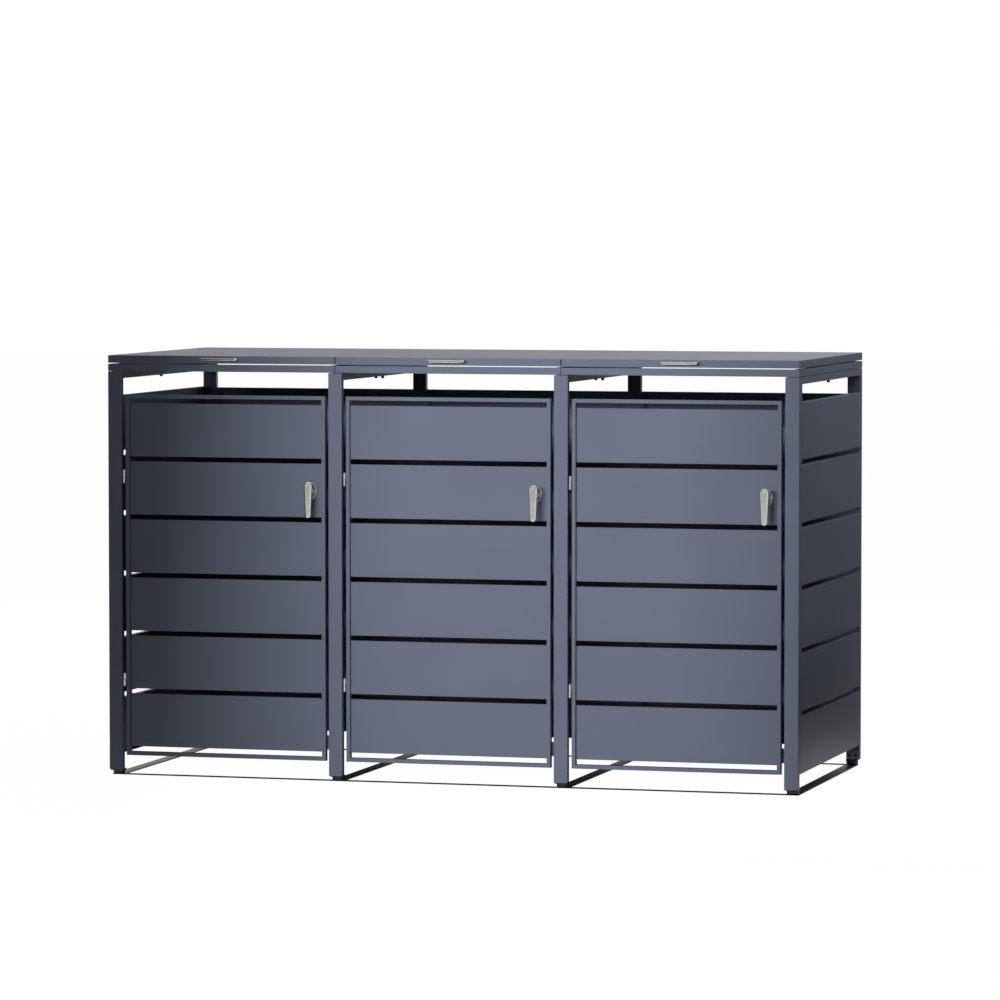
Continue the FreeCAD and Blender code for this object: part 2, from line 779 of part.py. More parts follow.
def lid_panel(bay):
    """A folded tray turned down, returned inwards above a skirt at the front and sides."""
    body = new_body("lid_panel_%d" % bay)
    left, right = module_edges(bay, "lid_seam")
    plan = sketch_on(body, "XY_Plane", "-lid_skirt")
    rectangle(plan, left, right, "0", "store_depth")
    blank = pad(body, plan, LID_HEIGHT + " + lid_skirt")
    corners = corner_edges(blank.Shape, "x", "y")
    dress(body, "Fillet", blank, corners + edges_on(blank.Shape, "+z"), "lid_fold")
    hollow = sketch_on(body, "XY_Plane", "lid_sheet")
    inside = (left + " + lid_sheet", right + " - lid_sheet", "lid_sheet", "store_depth - lid_sheet")
    rectangle(hollow, *inside)
    pocket(body, hollow, LID_HEIGHT + " - 2 * lid_sheet", turned=True)
    mouth = sketch_on(body, "XY_Plane")
    opening = (left + " + lid_return", right + " - lid_return", "lid_return", "store_depth - lid_return")
    rectangle(mouth, *opening)
    pocket(body, mouth, "lid_sheet", turned=True)
    skirt = sketch_on(body, "XY_Plane", "-lid_skirt")
    rectangle(skirt, left + " + lid_sheet", right + " - lid_sheet", "lid_sheet", "store_depth")
    pocket(body, skirt, "lid_skirt", turned=True)
    place(body, bay_x(bay), FRONT, LID_BOTTOM)
    return subpart(body, body.Name)


def lid_handle(bay):
    """A bow handle with bevelled ends, on the front edge of the lid, midway along it."""
    body = new_body("lid_handle_%d" % bay)
    left, right = module_edges(bay, "lid_seam")
    half = "handle_width / 2"
    rise = "handle_height / 2"
    front = sketch_on(body, "XZ_Plane")
    corners = (
        ("handle_bevel - " + half, "-" + rise),
        (half + " - handle_bevel", "-" + rise),
        (half, rise),
        ("-" + half, rise),
    )
    polygon(front, corners)
    blank = pad(body, front, "handle_reach")
    dress(body, "Fillet", blank, edges_on(blank.Shape, "-y"), "handle_edge")
    grip = sketch_on(body, "XY_Plane", "-handle_height")
    inner = "(handle_width / 2 - handle_bevel - handle_leg)"
    rectangle(grip, "-" + inner, inner, "handle_bar - handle_reach", "0")
    pocket(body, grip, "2 * handle_height", turned=True)
    place(body, "%s + (%s + %s) / 2" % (bay_x(bay), left, right), FRONT, "store_top - handle_drop")
    return subpart(body, body.Name)


# Lid hinges, with the pin's axis along X through the origin
def lid_hinge_parts():
    """The half on the frame with its riveted pin, and the half under the lid."""
    half_length = "(lid_hinge_length / 2)"
    half_gap = "(lid_gap / 2)"
    knuckle_start = "(%s - lid_knuckle_length)" % half_length
    leaf_y = ("-lid_leaf_reach", "-lid_leaf_relief")
    low_z = ("-" + half_gap, "lid_leaf_thick - " + half_gap)
    high_z = (half_gap + " - lid_leaf_thick", half_gap)
    along_x = facing(1, 0, 0)
    pieces = [box("lid_fixed_leaf", ("-" + half_length, half_length), leaf_y, low_z)]
    for side, x in ((-1, "-" + half_length), (1, knuckle_start)):
        knuckle = rod("lid_fixed_knuckle", "lid_knuckle_width", "lid_knuckle_length", x, rotation=along_x)
        web = box("lid_fixed_web", (x, x + " + lid_knuckle_length"), ("-lid_leaf_relief", "0"), low_z)
        pieces += [knuckle, web]
    pin = rod("lid_pin", "lid_pin_width", "lid_hinge_length", "-" + half_length, rotation=along_x)
    fixed = fused("lid_hinge_fixed_half", pin, *pieces)
    inner = "(%s - lid_knuckle_play)" % knuckle_start
    leaf = box("lid_moving_leaf", ("-" + half_length, half_length), leaf_y, high_z)
    web = box("lid_moving_web", ("-" + inner, inner), ("-lid_leaf_relief", "0"), high_z)
    knuckle = rod("lid_moving_knuckle", "lid_knuckle_width", "2 * " + inner, "-" + inner, rotation=along_x)
    solid = fused("lid_moving_blank", leaf, web, knuckle)
    bore = rod("lid_bore", "(lid_pin_width + running_play)", "2 * " + inner, "-" + inner, rotation=along_x)
    return fixed, cut("lid_hinge_moving_half", solid, bore)


def lid_hinges():
    fixed, moving = lid_hinge_parts()
    every_fixed = []
    for bay in BAYS:
        spots = []
        for side in SIDES:
            x = "%s + %d * lid_hinge_spread / 2" % (bay_x(bay), side)
            spots.append((x, LID_AXIS_Y, LID_AXIS_Z, None))
        every_fixed += [(fixed, *spot) for spot in spots]
        copies("lid_hinge_leaves_%d" % bay, [(moving, *spot) for spot in spots])
    copies("lid_hinge_bases", every_fixed)


# Doors
def door_frame(bay):
    """A welded tube frame, vented through the bottom rail."""
    body = new_body("door_frame_%d" % bay)
    half = "(%s / 2)" % DOOR_WIDTH
    face = sketch_on(body, "XZ_Plane")
    ring(face, "-" + half, half, "0", DOOR_HEIGHT, "stile_width")
    blank = pad(body, face, "stile_depth", turned=True)
    dress(body, "Fillet", blank, edges_on(blank.Shape, "-y"), "stile_edge")
    hollow = sketch_on(body, "XZ_Plane", "-tube_wall")
    ring(hollow, "-" + half, half, "0", DOOR_HEIGHT, "stile_width", "tube_wall")
    pocket(body, hollow, "stile_depth - 2 * tube_wall")
    spots = [("%d * %s / 2" % (side, half), "stile_depth / 2") for side in SIDES]
    drill(body, "XY_Plane", spots, "vent_width", "tube_wall", turned=True)
    place(body, "%s + %s" % (bay_x(bay), DOOR_SHIFT), DOOR_FRONT, "door_bottom")
    return subpart(body, body.Name)


def door_slats(bay):
    """Slats welded between the stiles; the one at lever height is bored for the latch."""
    depth = "(stile_depth - door_slat_setback)"
    name = "door_slats_%d" % bay
    body, face = tray(name, DOOR_SLAT_LENGTH, "door_slat_height", depth)
    repeat(body, None, face, "door_slat_height + " + DOOR_SLAT_GAP, "slat_count")
    bottom = "(door_bottom + stile_width + %s)" % DOOR_SLAT_GAP
    pivot = ("%s - %s" % (PIVOT_X, DOOR_SHIFT), "pivot_level - " + bottom)
    drill(body, "XZ_Plane", [pivot], "barrel_width + hole_play", depth)
    place(body, "%s + %s" % (bay_x(bay), DOOR_SHIFT), DOOR_SLAT_FRONT, bottom)
    return subpart(body, body.Name)


# Door hinges, with the pin's axis along Z and the split at the origin
def door_hinge_parts():
    """The half on the post with its pin, and the capped half on the stile."""
    half_gap = "(door_left_gap / 2)"
    web_front = "(hinge_knuckle_width / 2 - hinge_web)"
    web_y = (web_front, "hinge_knuckle_width / 2")
    leaf_y = (web_front, "hinge_leaf_back")
    low_z = ("-hinge_height / 2", "-hinge_play / 2")
    high_z = ("hinge_play / 2", "hinge_height / 2")
    leaf = box("fixed_leaf", ("-" + half_gap, "hinge_leaf_thick - " + half_gap), leaf_y, low_z)
    web = box("fixed_web", ("-" + half_gap, "0"), web_y, low_z)
    knuckle_height = "(hinge_height - hinge_play) / 2"
    knuckle = rod("fixed_knuckle", "hinge_knuckle_width", knuckle_height, z=low_z[0])
    pin = rod("pin", "hinge_pin_width", "hinge_height / 2 + hinge_pin_length", z=low_z[0])
    fixed = fused("door_hinge_fixed_half", leaf, web, knuckle, pin)
    leaf = box("moving_leaf", (half_gap + " - hinge_leaf_thick", half_gap), leaf_y, high_z)
    web = box("moving_web", ("0", half_gap), web_y, high_z)
    knuckle = rod("moving_knuckle", "hinge_knuckle_width", knuckle_height, z=high_z[0])
    solid = fused("moving_blank", leaf, web, knuckle)
    bore_width = "(hinge_pin_width + running_play)"
    bore = rod("pin_bore", bore_width, "hinge_pin_length + hinge_play", z="0")
    return fixed, cut("door_hinge_moving_half", solid, bore)


def door_hinges():
    fixed, moving = door_hinge_parts()
    every_fixed = []
    for bay in BAYS:
        x = "%s + %s" % (post_x(bay), HINGE_AXIS_X)
        levels = ("hinge_lower_level", "hinge_upper_level")
        spots = [(x, HINGE_AXIS_Y, level, None) for level in levels]
        every_fixed += [(fixed, *spot) for spot in spots]
        copies("door_hinge_leaves_%d" % bay, [(moving, *spot) for spot in spots])
    copies("door_hinge_bases", every_fixed)


def door_stops():
    """Plates on the backs of the posts that the doors close against."""
    thickness = ("0", "stop_thick")
    plate = box("stop_plate", ("-stop_width", "0"), thickness, ("-stop_height / 2", "stop_height / 2"))
    hole = rod("stop_hole", SCREW_HOLE, "stop_thick", "-stop_screw_shift", rotation=facing(0, 1, 0))
    stop = cut("stop", plate, hole)
    placings = []
    for number in POSTS[1:]:
        for level in ("stop_lower_level", "stop_upper_level"):
            placings.append((stop, post_x(number), FRONT + " + post_depth", level, None))
    copies("door_stops", placings)


# Latches, with the pivot along Z, the slat's face at z = 0 and +Z to the front
def rounded_taper(sketch, high_centre, high_radius, low_centre, low_radius):
    """Two round ends of different radii joined by straight tangent sides."""
    high = sketch.addGeometry(Part.ArcOfCircle(Part.Circle(V(0, 20, 0), UP, 12), 0, 3.14))
    left = sketch.addGeometry(Part.LineSegment(V(-12, 20, 0), V(-8, -60, 0)))
    low = sketch.addGeometry(Part.ArcOfCircle(Part.Circle(V(0, -60, 0), UP, 8), 3.14, 6.28))
    right = sketch.addGeometry(Part.LineSegment(V(8, -60, 0), V(12, 20, 0)))
    outline = (high, left, low, right)
    for first, second in zip(outline, outline[1:] + outline[:1]):
        sketch.addConstraint(Sketcher.Constraint("Tangent", first, 2, second, 1))
    for arc, centre, radius in ((high, high_centre, high_radius), (low, low_centre, low_radius)):
        sketch.addConstraint(Sketcher.Constraint("PointOnObject", arc, 3, -2))
        constrain(sketch, "DistanceY", -1, 1, arc, 3, expression=centre)
        constrain(sketch, "Radius", arc, expression=radius)


def pointed_oval(sketch, wide, tall):
    """Two equal arcs that meet in a point at the top and at the bottom."""
    radius = "((%s ^ 2 + %s ^ 2) / (4 * %s))" % (wide, tall, wide)
    right = sketch.addGeometry(Part.ArcOfCircle(Part.Circle(V(-10, 0, 0), UP, 27), -1.2, 1.2))
    left = sketch.addGeometry(Part.ArcOfCircle(Part.Circle(V(10, 0, 0), UP, 27), 1.94, 4.34))
    sketch.addConstraint(Sketcher.Constraint("Coincident", right, 2, left, 1))
    sketch.addConstraint(Sketcher.Constraint("Coincident", left, 2, right, 1))
    for end, sign in ((1, "-"), (2, "")):
        sketch.addConstraint(Sketcher.Constraint("PointOnObject", right, end, -2))
        constrain(sketch, "DistanceY", -1, 1, right, end, expression="%s%s / 2" % (sign, tall))
    for arc in (right, left):
        constrain(sketch, "Radius", arc, expression=radius)


def round_boss(body, diameter, start, length, turned=False):
    """A cylinder along Z from a level of the body."""
    sketch = sketch_on(body, "XY_Plane", start)
    circle(sketch, "0", "0", diameter)
    return pad(body, sketch, length, turned)


def at_pivot(body, bay):
    x = "%s + %s" % (bay_x(bay), PIVOT_X)
    place(body, x, DOOR_SLAT_FRONT, "pivot_level", FreeCAD.Rotation(V(1, 0, 0), 90))
    return subpart(body, body.Name)


def latch_rose(bay):
    """A pointed oval plate with a bevelled rim and a barrel through the slat."""
    body = new_body("latch_rose_%d" % bay)
    outline = sketch_on(body, "XY_Plane")
    pointed_oval(outline, "rose_wide", "rose_tall")
    plate = pad(body, outline, "rose_thick")
    dress(body, "Chamfer", plate, edges_on(plate.Shape, "+z"), "rose_bevel")
    round_boss(body, "barrel_width", "0", "barrel_length", turned=True)
    bore = "spindle_width + running_play"
    drill(body, "XY_Plane", [("0", "0")], bore, "rose_thick + barrel_length", "rose_thick")
    return at_pivot(body, bay)


def latch_nut(bay):
    """A hexagon nut on the barrel, behind the slat."""
    name = "latch_nut_%d" % bay
    hexagon = document.addObject("Part::Prism", name + "_hexagon")
    bind(hexagon, Circumradius="nut_circle / 2", Height="nut_thick")
    place(hexagon, z="-slat_sheet - nut_thick")
    bore = "(barrel_width + hole_play)"
    hole = rod(name + "_bore", bore, "nut_thick", z="-slat_sheet - nut_thick")
    return at_pivot(cut(name, hexagon, hole), bay)


def latch_lever(bay):
    """A tapered lever with a neck and the spindle that carries the cam."""
    body = new_body("latch_lever_%d" % bay)
    outline = sketch_on(body, "XY_Plane", LEVER_BACK)
    top = "lever_rise - lever_top_radius"
    tip = "lever_tip_radius - lever_fall"
    rounded_taper(outline, top, "lever_top_radius", tip, "lever_tip_radius")
    blade = pad(body, outline, "lever_thick")
    dress(body, "Chamfer", blade, edges_on(blade.Shape, "+z"), "lever_bevel")
    neck_start = "(rose_thick + neck_play)"
    round_boss(body, "neck_width", neck_start, "%s - %s" % (LEVER_BACK, neck_start))
    round_boss(body, "spindle_width", neck_start, neck_start + " + spindle_end", turned=True)
    round_boss(body, "cam_stub_width", "-spindle_end", "cam_thick", turned=True)
    return at_pivot(body, bay)


def latch_cam(bay):
    """A tongue behind the door, parked upright and turned behind the post to lock."""
    body = new_body("latch_cam_%d" % bay)
    outline = sketch_on(body, "XY_Plane", "-spindle_end")
    tip = "cam_reach - cam_tip_radius"
    rounded_taper(outline, tip, "cam_tip_radius", "0", "cam_hub_radius")
    pad(body, outline, "cam_thick", turned=True)
    bore = "cam_stub_width + running_play"
    drill(body, "XY_Plane", [("0", "0")], bore, "cam_thick", "-spindle_end")
    return at_pivot(body, bay)


# Checking and writing
def check():
    document.recompute()
    for thing in document.Objects:
        if {"Invalid", "Error"} & set(thing.State):
            raise RuntimeError("%s is %s" % (thing.Name, thing.State))
    for thing in subparts:
        if thing.Shape.isNull() or not thing.Shape.isValid():
            raise RuntimeError("%s has no valid shape" % thing.Label)


def write():
    os.makedirs("parts", exist_ok=True)
    for thing in subparts:
        thing.Shape.exportStep("parts/%s.step" % thing.Label)
    whole = FreeCAD.BoundBox()
    for thing in subparts:
        whole.add(thing.Shape.BoundBox)
    print("%d sub-parts, %s" % (len(subparts), whole))


fill_sheet()
for end in ENDS:
    for number in POSTS:
        post(end, number)
side_rails()
side_uprights()
ground_bars()
feet()
foot_brackets()
foot_screws()
side_panels()
back_panels()
panel_screws()
for bay in BAYS:
    lid_frame(bay)
    lid_panel(bay)
    lid_handle(bay)
    door_frame(bay)
    door_slats(bay)
    latch_rose(bay)
    latch_nut(bay)
    latch_lever(bay)
    latch_cam(bay)
frame_bolts()
frame_spacers()
lid_buffers()
lid_hinges()
door_hinges()
door_stops()
check()
write()
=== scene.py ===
import json
import math

import bpy
import numpy as np
from bpy.props import FloatProperty, FloatVectorProperty, IntProperty, PointerProperty
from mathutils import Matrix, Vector


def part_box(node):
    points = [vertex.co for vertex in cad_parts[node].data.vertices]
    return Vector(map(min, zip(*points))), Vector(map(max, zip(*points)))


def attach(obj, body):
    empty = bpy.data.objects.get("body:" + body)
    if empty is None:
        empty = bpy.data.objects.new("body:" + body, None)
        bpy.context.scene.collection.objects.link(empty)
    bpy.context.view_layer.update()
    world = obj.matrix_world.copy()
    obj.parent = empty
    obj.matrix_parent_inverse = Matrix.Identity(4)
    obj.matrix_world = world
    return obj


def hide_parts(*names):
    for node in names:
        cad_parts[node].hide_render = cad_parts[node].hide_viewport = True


# Finishes, fittings and studio for a metal store of three wheelie bins.
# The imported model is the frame: its nodes keep their shapes and get their finishes
# here, and the small turned, cast and moulded fittings are made again as finer
# surfaces on the same places. All lengths in the code are metres.

bl_info = {
    "name": "Wheelie bin store",
    "version": (1, 0, 0),
    "blender": (4, 5, 0),
    "location": "View3D > Sidebar > Bin store",
    "description": "Finishes, latches, hinges and fasteners of a slatted store for three wheelie bins",
    "category": "Add Mesh",
}

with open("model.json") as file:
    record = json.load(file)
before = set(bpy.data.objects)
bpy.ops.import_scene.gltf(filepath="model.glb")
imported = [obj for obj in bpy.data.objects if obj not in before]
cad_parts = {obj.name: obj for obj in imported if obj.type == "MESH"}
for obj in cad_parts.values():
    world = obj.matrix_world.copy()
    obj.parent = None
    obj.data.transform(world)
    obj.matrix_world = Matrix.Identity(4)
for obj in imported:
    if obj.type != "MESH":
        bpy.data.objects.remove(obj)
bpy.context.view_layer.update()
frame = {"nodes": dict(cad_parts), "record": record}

MM = 0.001
TURN = 2 * math.pi
BAYS = (1, 2, 3)
POSTS = (1, 2, 3, 4)
SIDES = (-1, 1)

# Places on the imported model
POST_LOW, POST_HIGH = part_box("post_front_1")
LAST_POST_LOW, LAST_POST_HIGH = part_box("post_front_4")
PITCH = (LAST_POST_LOW.x - POST_LOW.x) / 3
POST_WIDTH = POST_HIGH.x - POST_LOW.x
POST_DEPTH = POST_HIGH.y - POST_LOW.y
FRONT = POST_LOW.y
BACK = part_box("post_back_1")[1].y
MIDDLE = (FRONT + BACK) / 2
RAIL_UNDERSIDE = POST_HIGH.z - 20 * MM


def bay_x(bay):
    return (bay - 2) * PITCH


def post_x(number):
    return (number - 2.5) * PITCH


def hex_colour(code):
    """An sRGB hex colour as linear red, green and blue."""
    values = np.array([int(code[place:place + 2], 16) for place in (1, 3, 5)]) / 255
    linear = np.where(values <= 0.04045, values / 12.92, ((values + 0.055) / 1.055) ** 2.4)
    return tuple(float(value) for value in linear)


def length(name, description, millimetres):
    return FloatProperty(
        name=name,
        description=description,
        default=millimetres * MM,
        min=0,
        unit="LENGTH",
        subtype="DISTANCE",
        precision=4,
    )


def colour(name, description, code):
    return FloatVectorProperty(
        name=name,
        description=description,
        default=hex_colour(code),
        size=3,
        min=0,
        max=1,
        subtype="COLOR",
    )


def share(name, description, value):
    return FloatProperty(
        name=name,
        description=description,
        default=value,
        min=0,
        max=1,
        subtype="FACTOR",
    )


def power(name, description, watts):
    return FloatProperty(name=name, description=description, default=watts, min=0, unit="POWER")


# Sizes and colours that a user would change
class LatchSizes(bpy.types.PropertyGroup):
    lever_thick: length("Lever thickness", "Thickness of the lever's blade, front to back", 9)
    lever_tip: length("Lever tip", "Width of the lever's round tip", 16.5)
    lever_bevel: length("Lever bevel", "Width of the sloping edge round the lever's face", 2.1)
    lever_crown: length("Lever crown", "Rise of the lever's face from its edge to its middle", 0.08)
    oval_width: length("Oval width", "Width of the plain oval sunk in the lever's head", 11)
    oval_height: length("Oval height", "Height of the plain oval sunk in the lever's head", 6)
    oval_drop: length("Oval drop", "From the lever's top down to the middle of the oval", 9.5)
    rose_rim: length("Rose rim", "Width of the raised rim round the rose's dished face", 1.9)
    rose_dish: length("Rose dish", "Depth of the rose's dished face below its rim", 1.6)
    thread_pitch: length("Thread pitch", "Pitch of the thread on the barrel behind the door", 1.5)


class HandleSizes(bpy.types.PropertyGroup):
    bar_thick: length("Bar thickness", "Front to back thickness of the lid handle's bar", 5)
    leg_thick: length("Leg thickness", "Side to side thickness of the lid handle's legs", 8)
    corner: length("Corner", "Size of the slanted faces where the bar meets the legs", 5)
    edge: length("Edge radius", "Rounding of the lid handle's long edges", 1)
    slant: length("End slant", "How much shorter the handle is at its lower side, at each end", 4)


class HingeSizes(bpy.types.PropertyGroup):
    knuckle_width: length("Knuckle width", "Diameter of the door hinges' knuckles", 7)
    knuckle_length: length("Knuckle length", "Length of each half of a door hinge", 18.9)
    play: length("Play", "Half the gap between the two halves of a door hinge", 0.1)
    chamfer: length("Knuckle chamfer", "Chamfer at the ends of the door hinges' knuckles", 0.6)
    groove: length("Groove depth", "Depth of the turned groove near each knuckle's end", 0.3)
    leaf_thick: length("Leaf thickness", "Thickness of the door hinges' welded leaves", 2)
    web_thick: length("Web thickness", "Thickness of the plate from leaf to knuckle", 2)
    pin_width: length("Pin width", "Diameter of the door hinges' pins", 4)


class FastenerSizes(bpy.types.PropertyGroup):
    screw_head: length("Screw head", "Diameter of the panel screws' domed heads", 7)
    screw_head_height: length("Screw head height", "Height of the panel screws' domed heads", 2.2)
    foot_screw_head: length("Foot screw head", "Diameter of the foot screws' domed heads", 7.5)
    foot_screw_head_height: length("Foot screw head height", "Height of the foot screws' domed heads", 2.5)
    socket: share("Socket", "Size of the star socket against its screw's head", 0.5)
    washer: length("Washer", "Thickness of the flange under the frame bolts' hexagon heads", 1.5)


class FootSizes(bpy.types.PropertyGroup):
    grips: IntProperty(
        name="Grips",
        description="Shallow grips round each foot's rim",
        default=24,
        min=6,
        max=60,
        subtype="UNSIGNED",
    )
    grip_depth: length("Grip depth", "Depth of the grips round each foot's rim", 0.5)
    lower_edge: length("Lower edge", "Radius of each foot's lower edge", 4)


class FinishColours(bpy.types.PropertyGroup):
    anthracite: colour("Anthracite", "Powder coat of the tubes, slats and lids", "#5B6171")
    black_coat: colour("Black coat", "Powder coat of the ground bars and foot brackets", "#141517")
    nickel: colour("Nickel", "Plating of the levers, roses and lid handles", "#CBCEC9")
    hinge_zinc: colour("Hinge zinc", "Bright plating of the hinges", "#C9CCD0")
    screw_zinc: colour("Screw zinc", "Plating of the panel screws, nuts, tongues and foot studs", "#A9ADB3")
    black_zinc: colour("Black zinc", "Blackened plating of the frame bolts and foot screws", "#1B1B1D")
    foot_plastic: colour("Foot plastic", "Moulded nylon of the feet", "#161617")
    buffer_rubber: colour("Buffer rubber", "Rubber of the lid buffers", "#1A1A1B")
    coat_roughness: share("Coat roughness", "Roughness of the anthracite powder coat", 0.5)
    nickel_roughness: share("Nickel roughness", "Roughness of the satin nickel", 0.22)


class StudioSettings(bpy.types.PropertyGroup):
    floor_colour: colour("Floor colour", "What the floor gives back of the lamps' light", "#404040")
    floor_glow: share("Floor glow", "How much of the floor's white is seen without lamplight", 0.985)
    ambient: share("Ambient", "Strength of the even light from all round", 0.07)
    key_power: power("Key power", "Wide soft light at the front left", 990)
    side_power: power("Side power", "Light above the right side", 12)
    back_power: power("Back power", "Light behind the store", 60)


GROUPS = {
    "bin_store_latch": LatchSizes,
    "bin_store_handle": HandleSizes,
    "bin_store_hinge": HingeSizes,
    "bin_store_fastener": FastenerSizes,
    "bin_store_foot": FootSizes,
    "bin_store_finish": FinishColours,
    "bin_store_studio": StudioSettings,
}


# Surfaces
def skin(rings):
    """Closed surface through a stack of rings, each ring closed on itself.

    Ring i and ring i + 1 are joined by quads, and flat faces close both ends. The sum
    over faces of area vector times centre is three times the volume, and where it is
    negative the faces are turned over, so that they point outwards.
    """
    rings = np.asarray(rings, float)
    rows, columns = rings.shape[:2]
    points = rings.reshape(-1, 3)
    index = np.arange(rows * columns).reshape(rows, columns)
    after = np.roll(index, -1, axis=1)
    quads = np.stack((index[:-1], after[:-1], after[1:], index[1:]), axis=-1).reshape(-1, 4)
    corners = points[quads]
    areas = np.cross(corners[:, 2] - corners[:, 0], corners[:, 3] - corners[:, 1]) / 2
    flux = (areas * corners.mean(axis=1)).sum()
    for ring, sign in ((rings[0], -1), (rings[-1], 1)):
        area = np.cross(ring, np.roll(ring, -1, axis=0)).sum(axis=0) / 2
        flux += sign * (area * ring.mean(axis=0)).sum()
    faces = [tuple(face) for face in quads.tolist()]
    faces += [tuple(index[0][::-1].tolist()), tuple(index[-1].tolist())]
    if flux < 0:
        faces = [face[::-1] for face in faces]
    return points, faces


def joined(parts):
    """Several skins as one list of points and one of faces."""
    points, faces, start = [], [], 0
    for part_points, part_faces in parts:
        points.append(part_points)
        faces += [tuple(corner + start for corner in face) for face in part_faces]
        start += len(part_points)
    return np.concatenate(points), faces


def set_at(part, origin, along=(0, 0, 1)):
    """A skin turned so that its own +Z points along a direction, then moved."""
    points, faces = part
    turn = np.array(Vector((0, 0, 1)).rotation_difference(Vector(along)).to_matrix())
    return points @ turn.T + np.array(origin), faces


def angles(count):
    return np.arange(count) * TURN / count


def round_ring(count):
    """Radius 1 at every angle."""
    return np.ones(count)


def hexagon_ring(count):
    """Radius of a hexagon of circumradius 1: cos 30 over cos of the angle from a flat's middle."""
    off = np.mod(angles(count), TURN / 6) - TURN / 12
    return math.cos(TURN / 12) / np.cos(off)


def star_ring(count):
    """Radius of a six-lobed star: 0.86 plus 0.14 times the cosine of six times the angle."""
    return 0.86 + 0.14 * np.cos(6 * angles(count))


def turned(profile, count):
    """Surface turned about Z: rings of radius times a ring's form, each at its own height."""
    around = np.stack((np.cos(angles(count)), np.sin(angles(count))), axis=-1)
    rings = []
    for radius, height, *form in profile:
        ring_form = (form[0] if form else round_ring)(count)
        flat = around * (radius * ring_form)[:, None]
        rings.append(np.column_stack((flat, np.full(count, height))))
    return skin(rings)


def lofted(outline, steps):
    """Plate with a shaped edge: the outline set in by each step's inset, at each step's level."""
    rings = []
    for inset, level in steps:
        flat = outline(inset)
        rings.append(np.column_stack((flat, np.full(len(flat), level))))
    return skin(rings)


def rounded(width, height, radius, count):
    """Outline of a rectangle about the origin with rounded corners.

    Each corner is a quarter circle of count points, about a point set in by its radius.
    """
    corners = []
    for number, (x, y) in enumerate(((1, 1), (-1, 1), (-1, -1), (1, -1))):
        turn = np.linspace(0, TURN / 4, count) + number * TURN / 4
        centre = np.array((x * (width / 2 - radius), y * (height / 2 - radius)))
        corners.append(centre + radius * np.column_stack((np.cos(turn), np.sin(turn))))
    return np.concatenate(corners)


def eased(width, height, depth, edge):
    """Block with rounded upright corners and eased upper and lower edges, centred in plan."""

    def outline(inset):
        return rounded(width - 2 * inset, height - 2 * inset, edge - 0.7 * inset, 5)

    ease = edge / 2
    return lofted(outline, ((ease, 0), (0, ease), (0, depth - ease), (ease, depth)))


# Pieces
SHARP_EDGE = math.radians(32)
SLOT_FINISHES = {
    "anthracite_coat": "anthracite powder coat",
    "black_coat": "black powder coat",
    "satin_nickel": "satin nickel, brushed upright",
    "hinge_steel": "bright zinc plated steel",
    "zinc_plate": "dull zinc plated steel",
    "black_zinc": "black zinc plated steel",
    "black_plastic": "moulded black nylon",
    "black_rubber": "moulded black rubber",
}
HANDLE_FINISH = "satin nickel, brushed lengthways"


def add_piece(name, part, body, slot, replaced=(), finish=None):
    """A piece at the origin, with its place in its mesh, riding on a body of the model."""
    points, faces = part
    mesh = bpy.data.meshes.new(name)
    mesh.from_pydata(points.tolist(), [], faces)
    mesh.shade_smooth()
    mesh.set_sharp_from_angle(angle=SHARP_EDGE)
    mesh.materials.append(bpy.data.materials[finish or SLOT_FINISHES[slot]])
    piece = bpy.data.objects.new(name, mesh)
    bpy.context.scene.collection.objects.link(piece)
    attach(piece, body)
    if replaced:
        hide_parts(*replaced)


# Materials
def add_node(tree, kind, inputs=None, **settings):
    """Add a node with its settings, and fill each named input with a value or a link."""
    node = tree.nodes.new("ShaderNode" + kind)
    for name, value in settings.items():
        setattr(node, name, value)
    for name, value in (inputs or {}).items():
        if isinstance(value, bpy.types.NodeSocket):
            tree.links.new(value, node.inputs[name])
        else:
            node.inputs[name].default_value = value
    return node


def new_material(name):
    material = bpy.data.materials.new(name)
    material.use_nodes = True
    material.node_tree.nodes.clear()
    return material, material.node_tree


def pattern(tree, size, detail=2, stretch=(1, 1, 1)):
    """Noise whose lumps are about the given size in metres, on the piece's own coordinates."""
    place = add_node(tree, "TexCoord")
    mapped = add_node(tree, "Mapping", {"Vector": place.outputs["Object"], "Scale": stretch})
    noise = {"Vector": mapped.outputs[0], "Scale": 1 / size, "Detail": detail, "Roughness": 0.5}
    return add_node(tree, "TexNoise", noise).outputs["Fac"]


def spread(tree, value, low, high):
    """Noise from its usual range to a range of values."""
    inputs = {"Value": value, "From Min": 0.3, "From Max": 0.7, "To Min": low, "To Max": high}
    return add_node(tree, "MapRange", inputs).outputs[0]


def tinted(tree, factor, base, depth):
    """A colour that goes from a little darker to a little lighter as the factor rises."""
    dark = tuple(part * (1 - depth) for part in base) + (1,)
    light = tuple(min(1, part * (1 + depth)) for part in base) + (1,)
    mix = add_node(tree, "Mix", {"Factor": factor, 6: dark, 7: light}, data_type="RGBA")
    return mix.outputs[2]


def finish_surface(tree, shader):
    add_node(tree, "OutputMaterial", {"Surface": shader.outputs[0]})


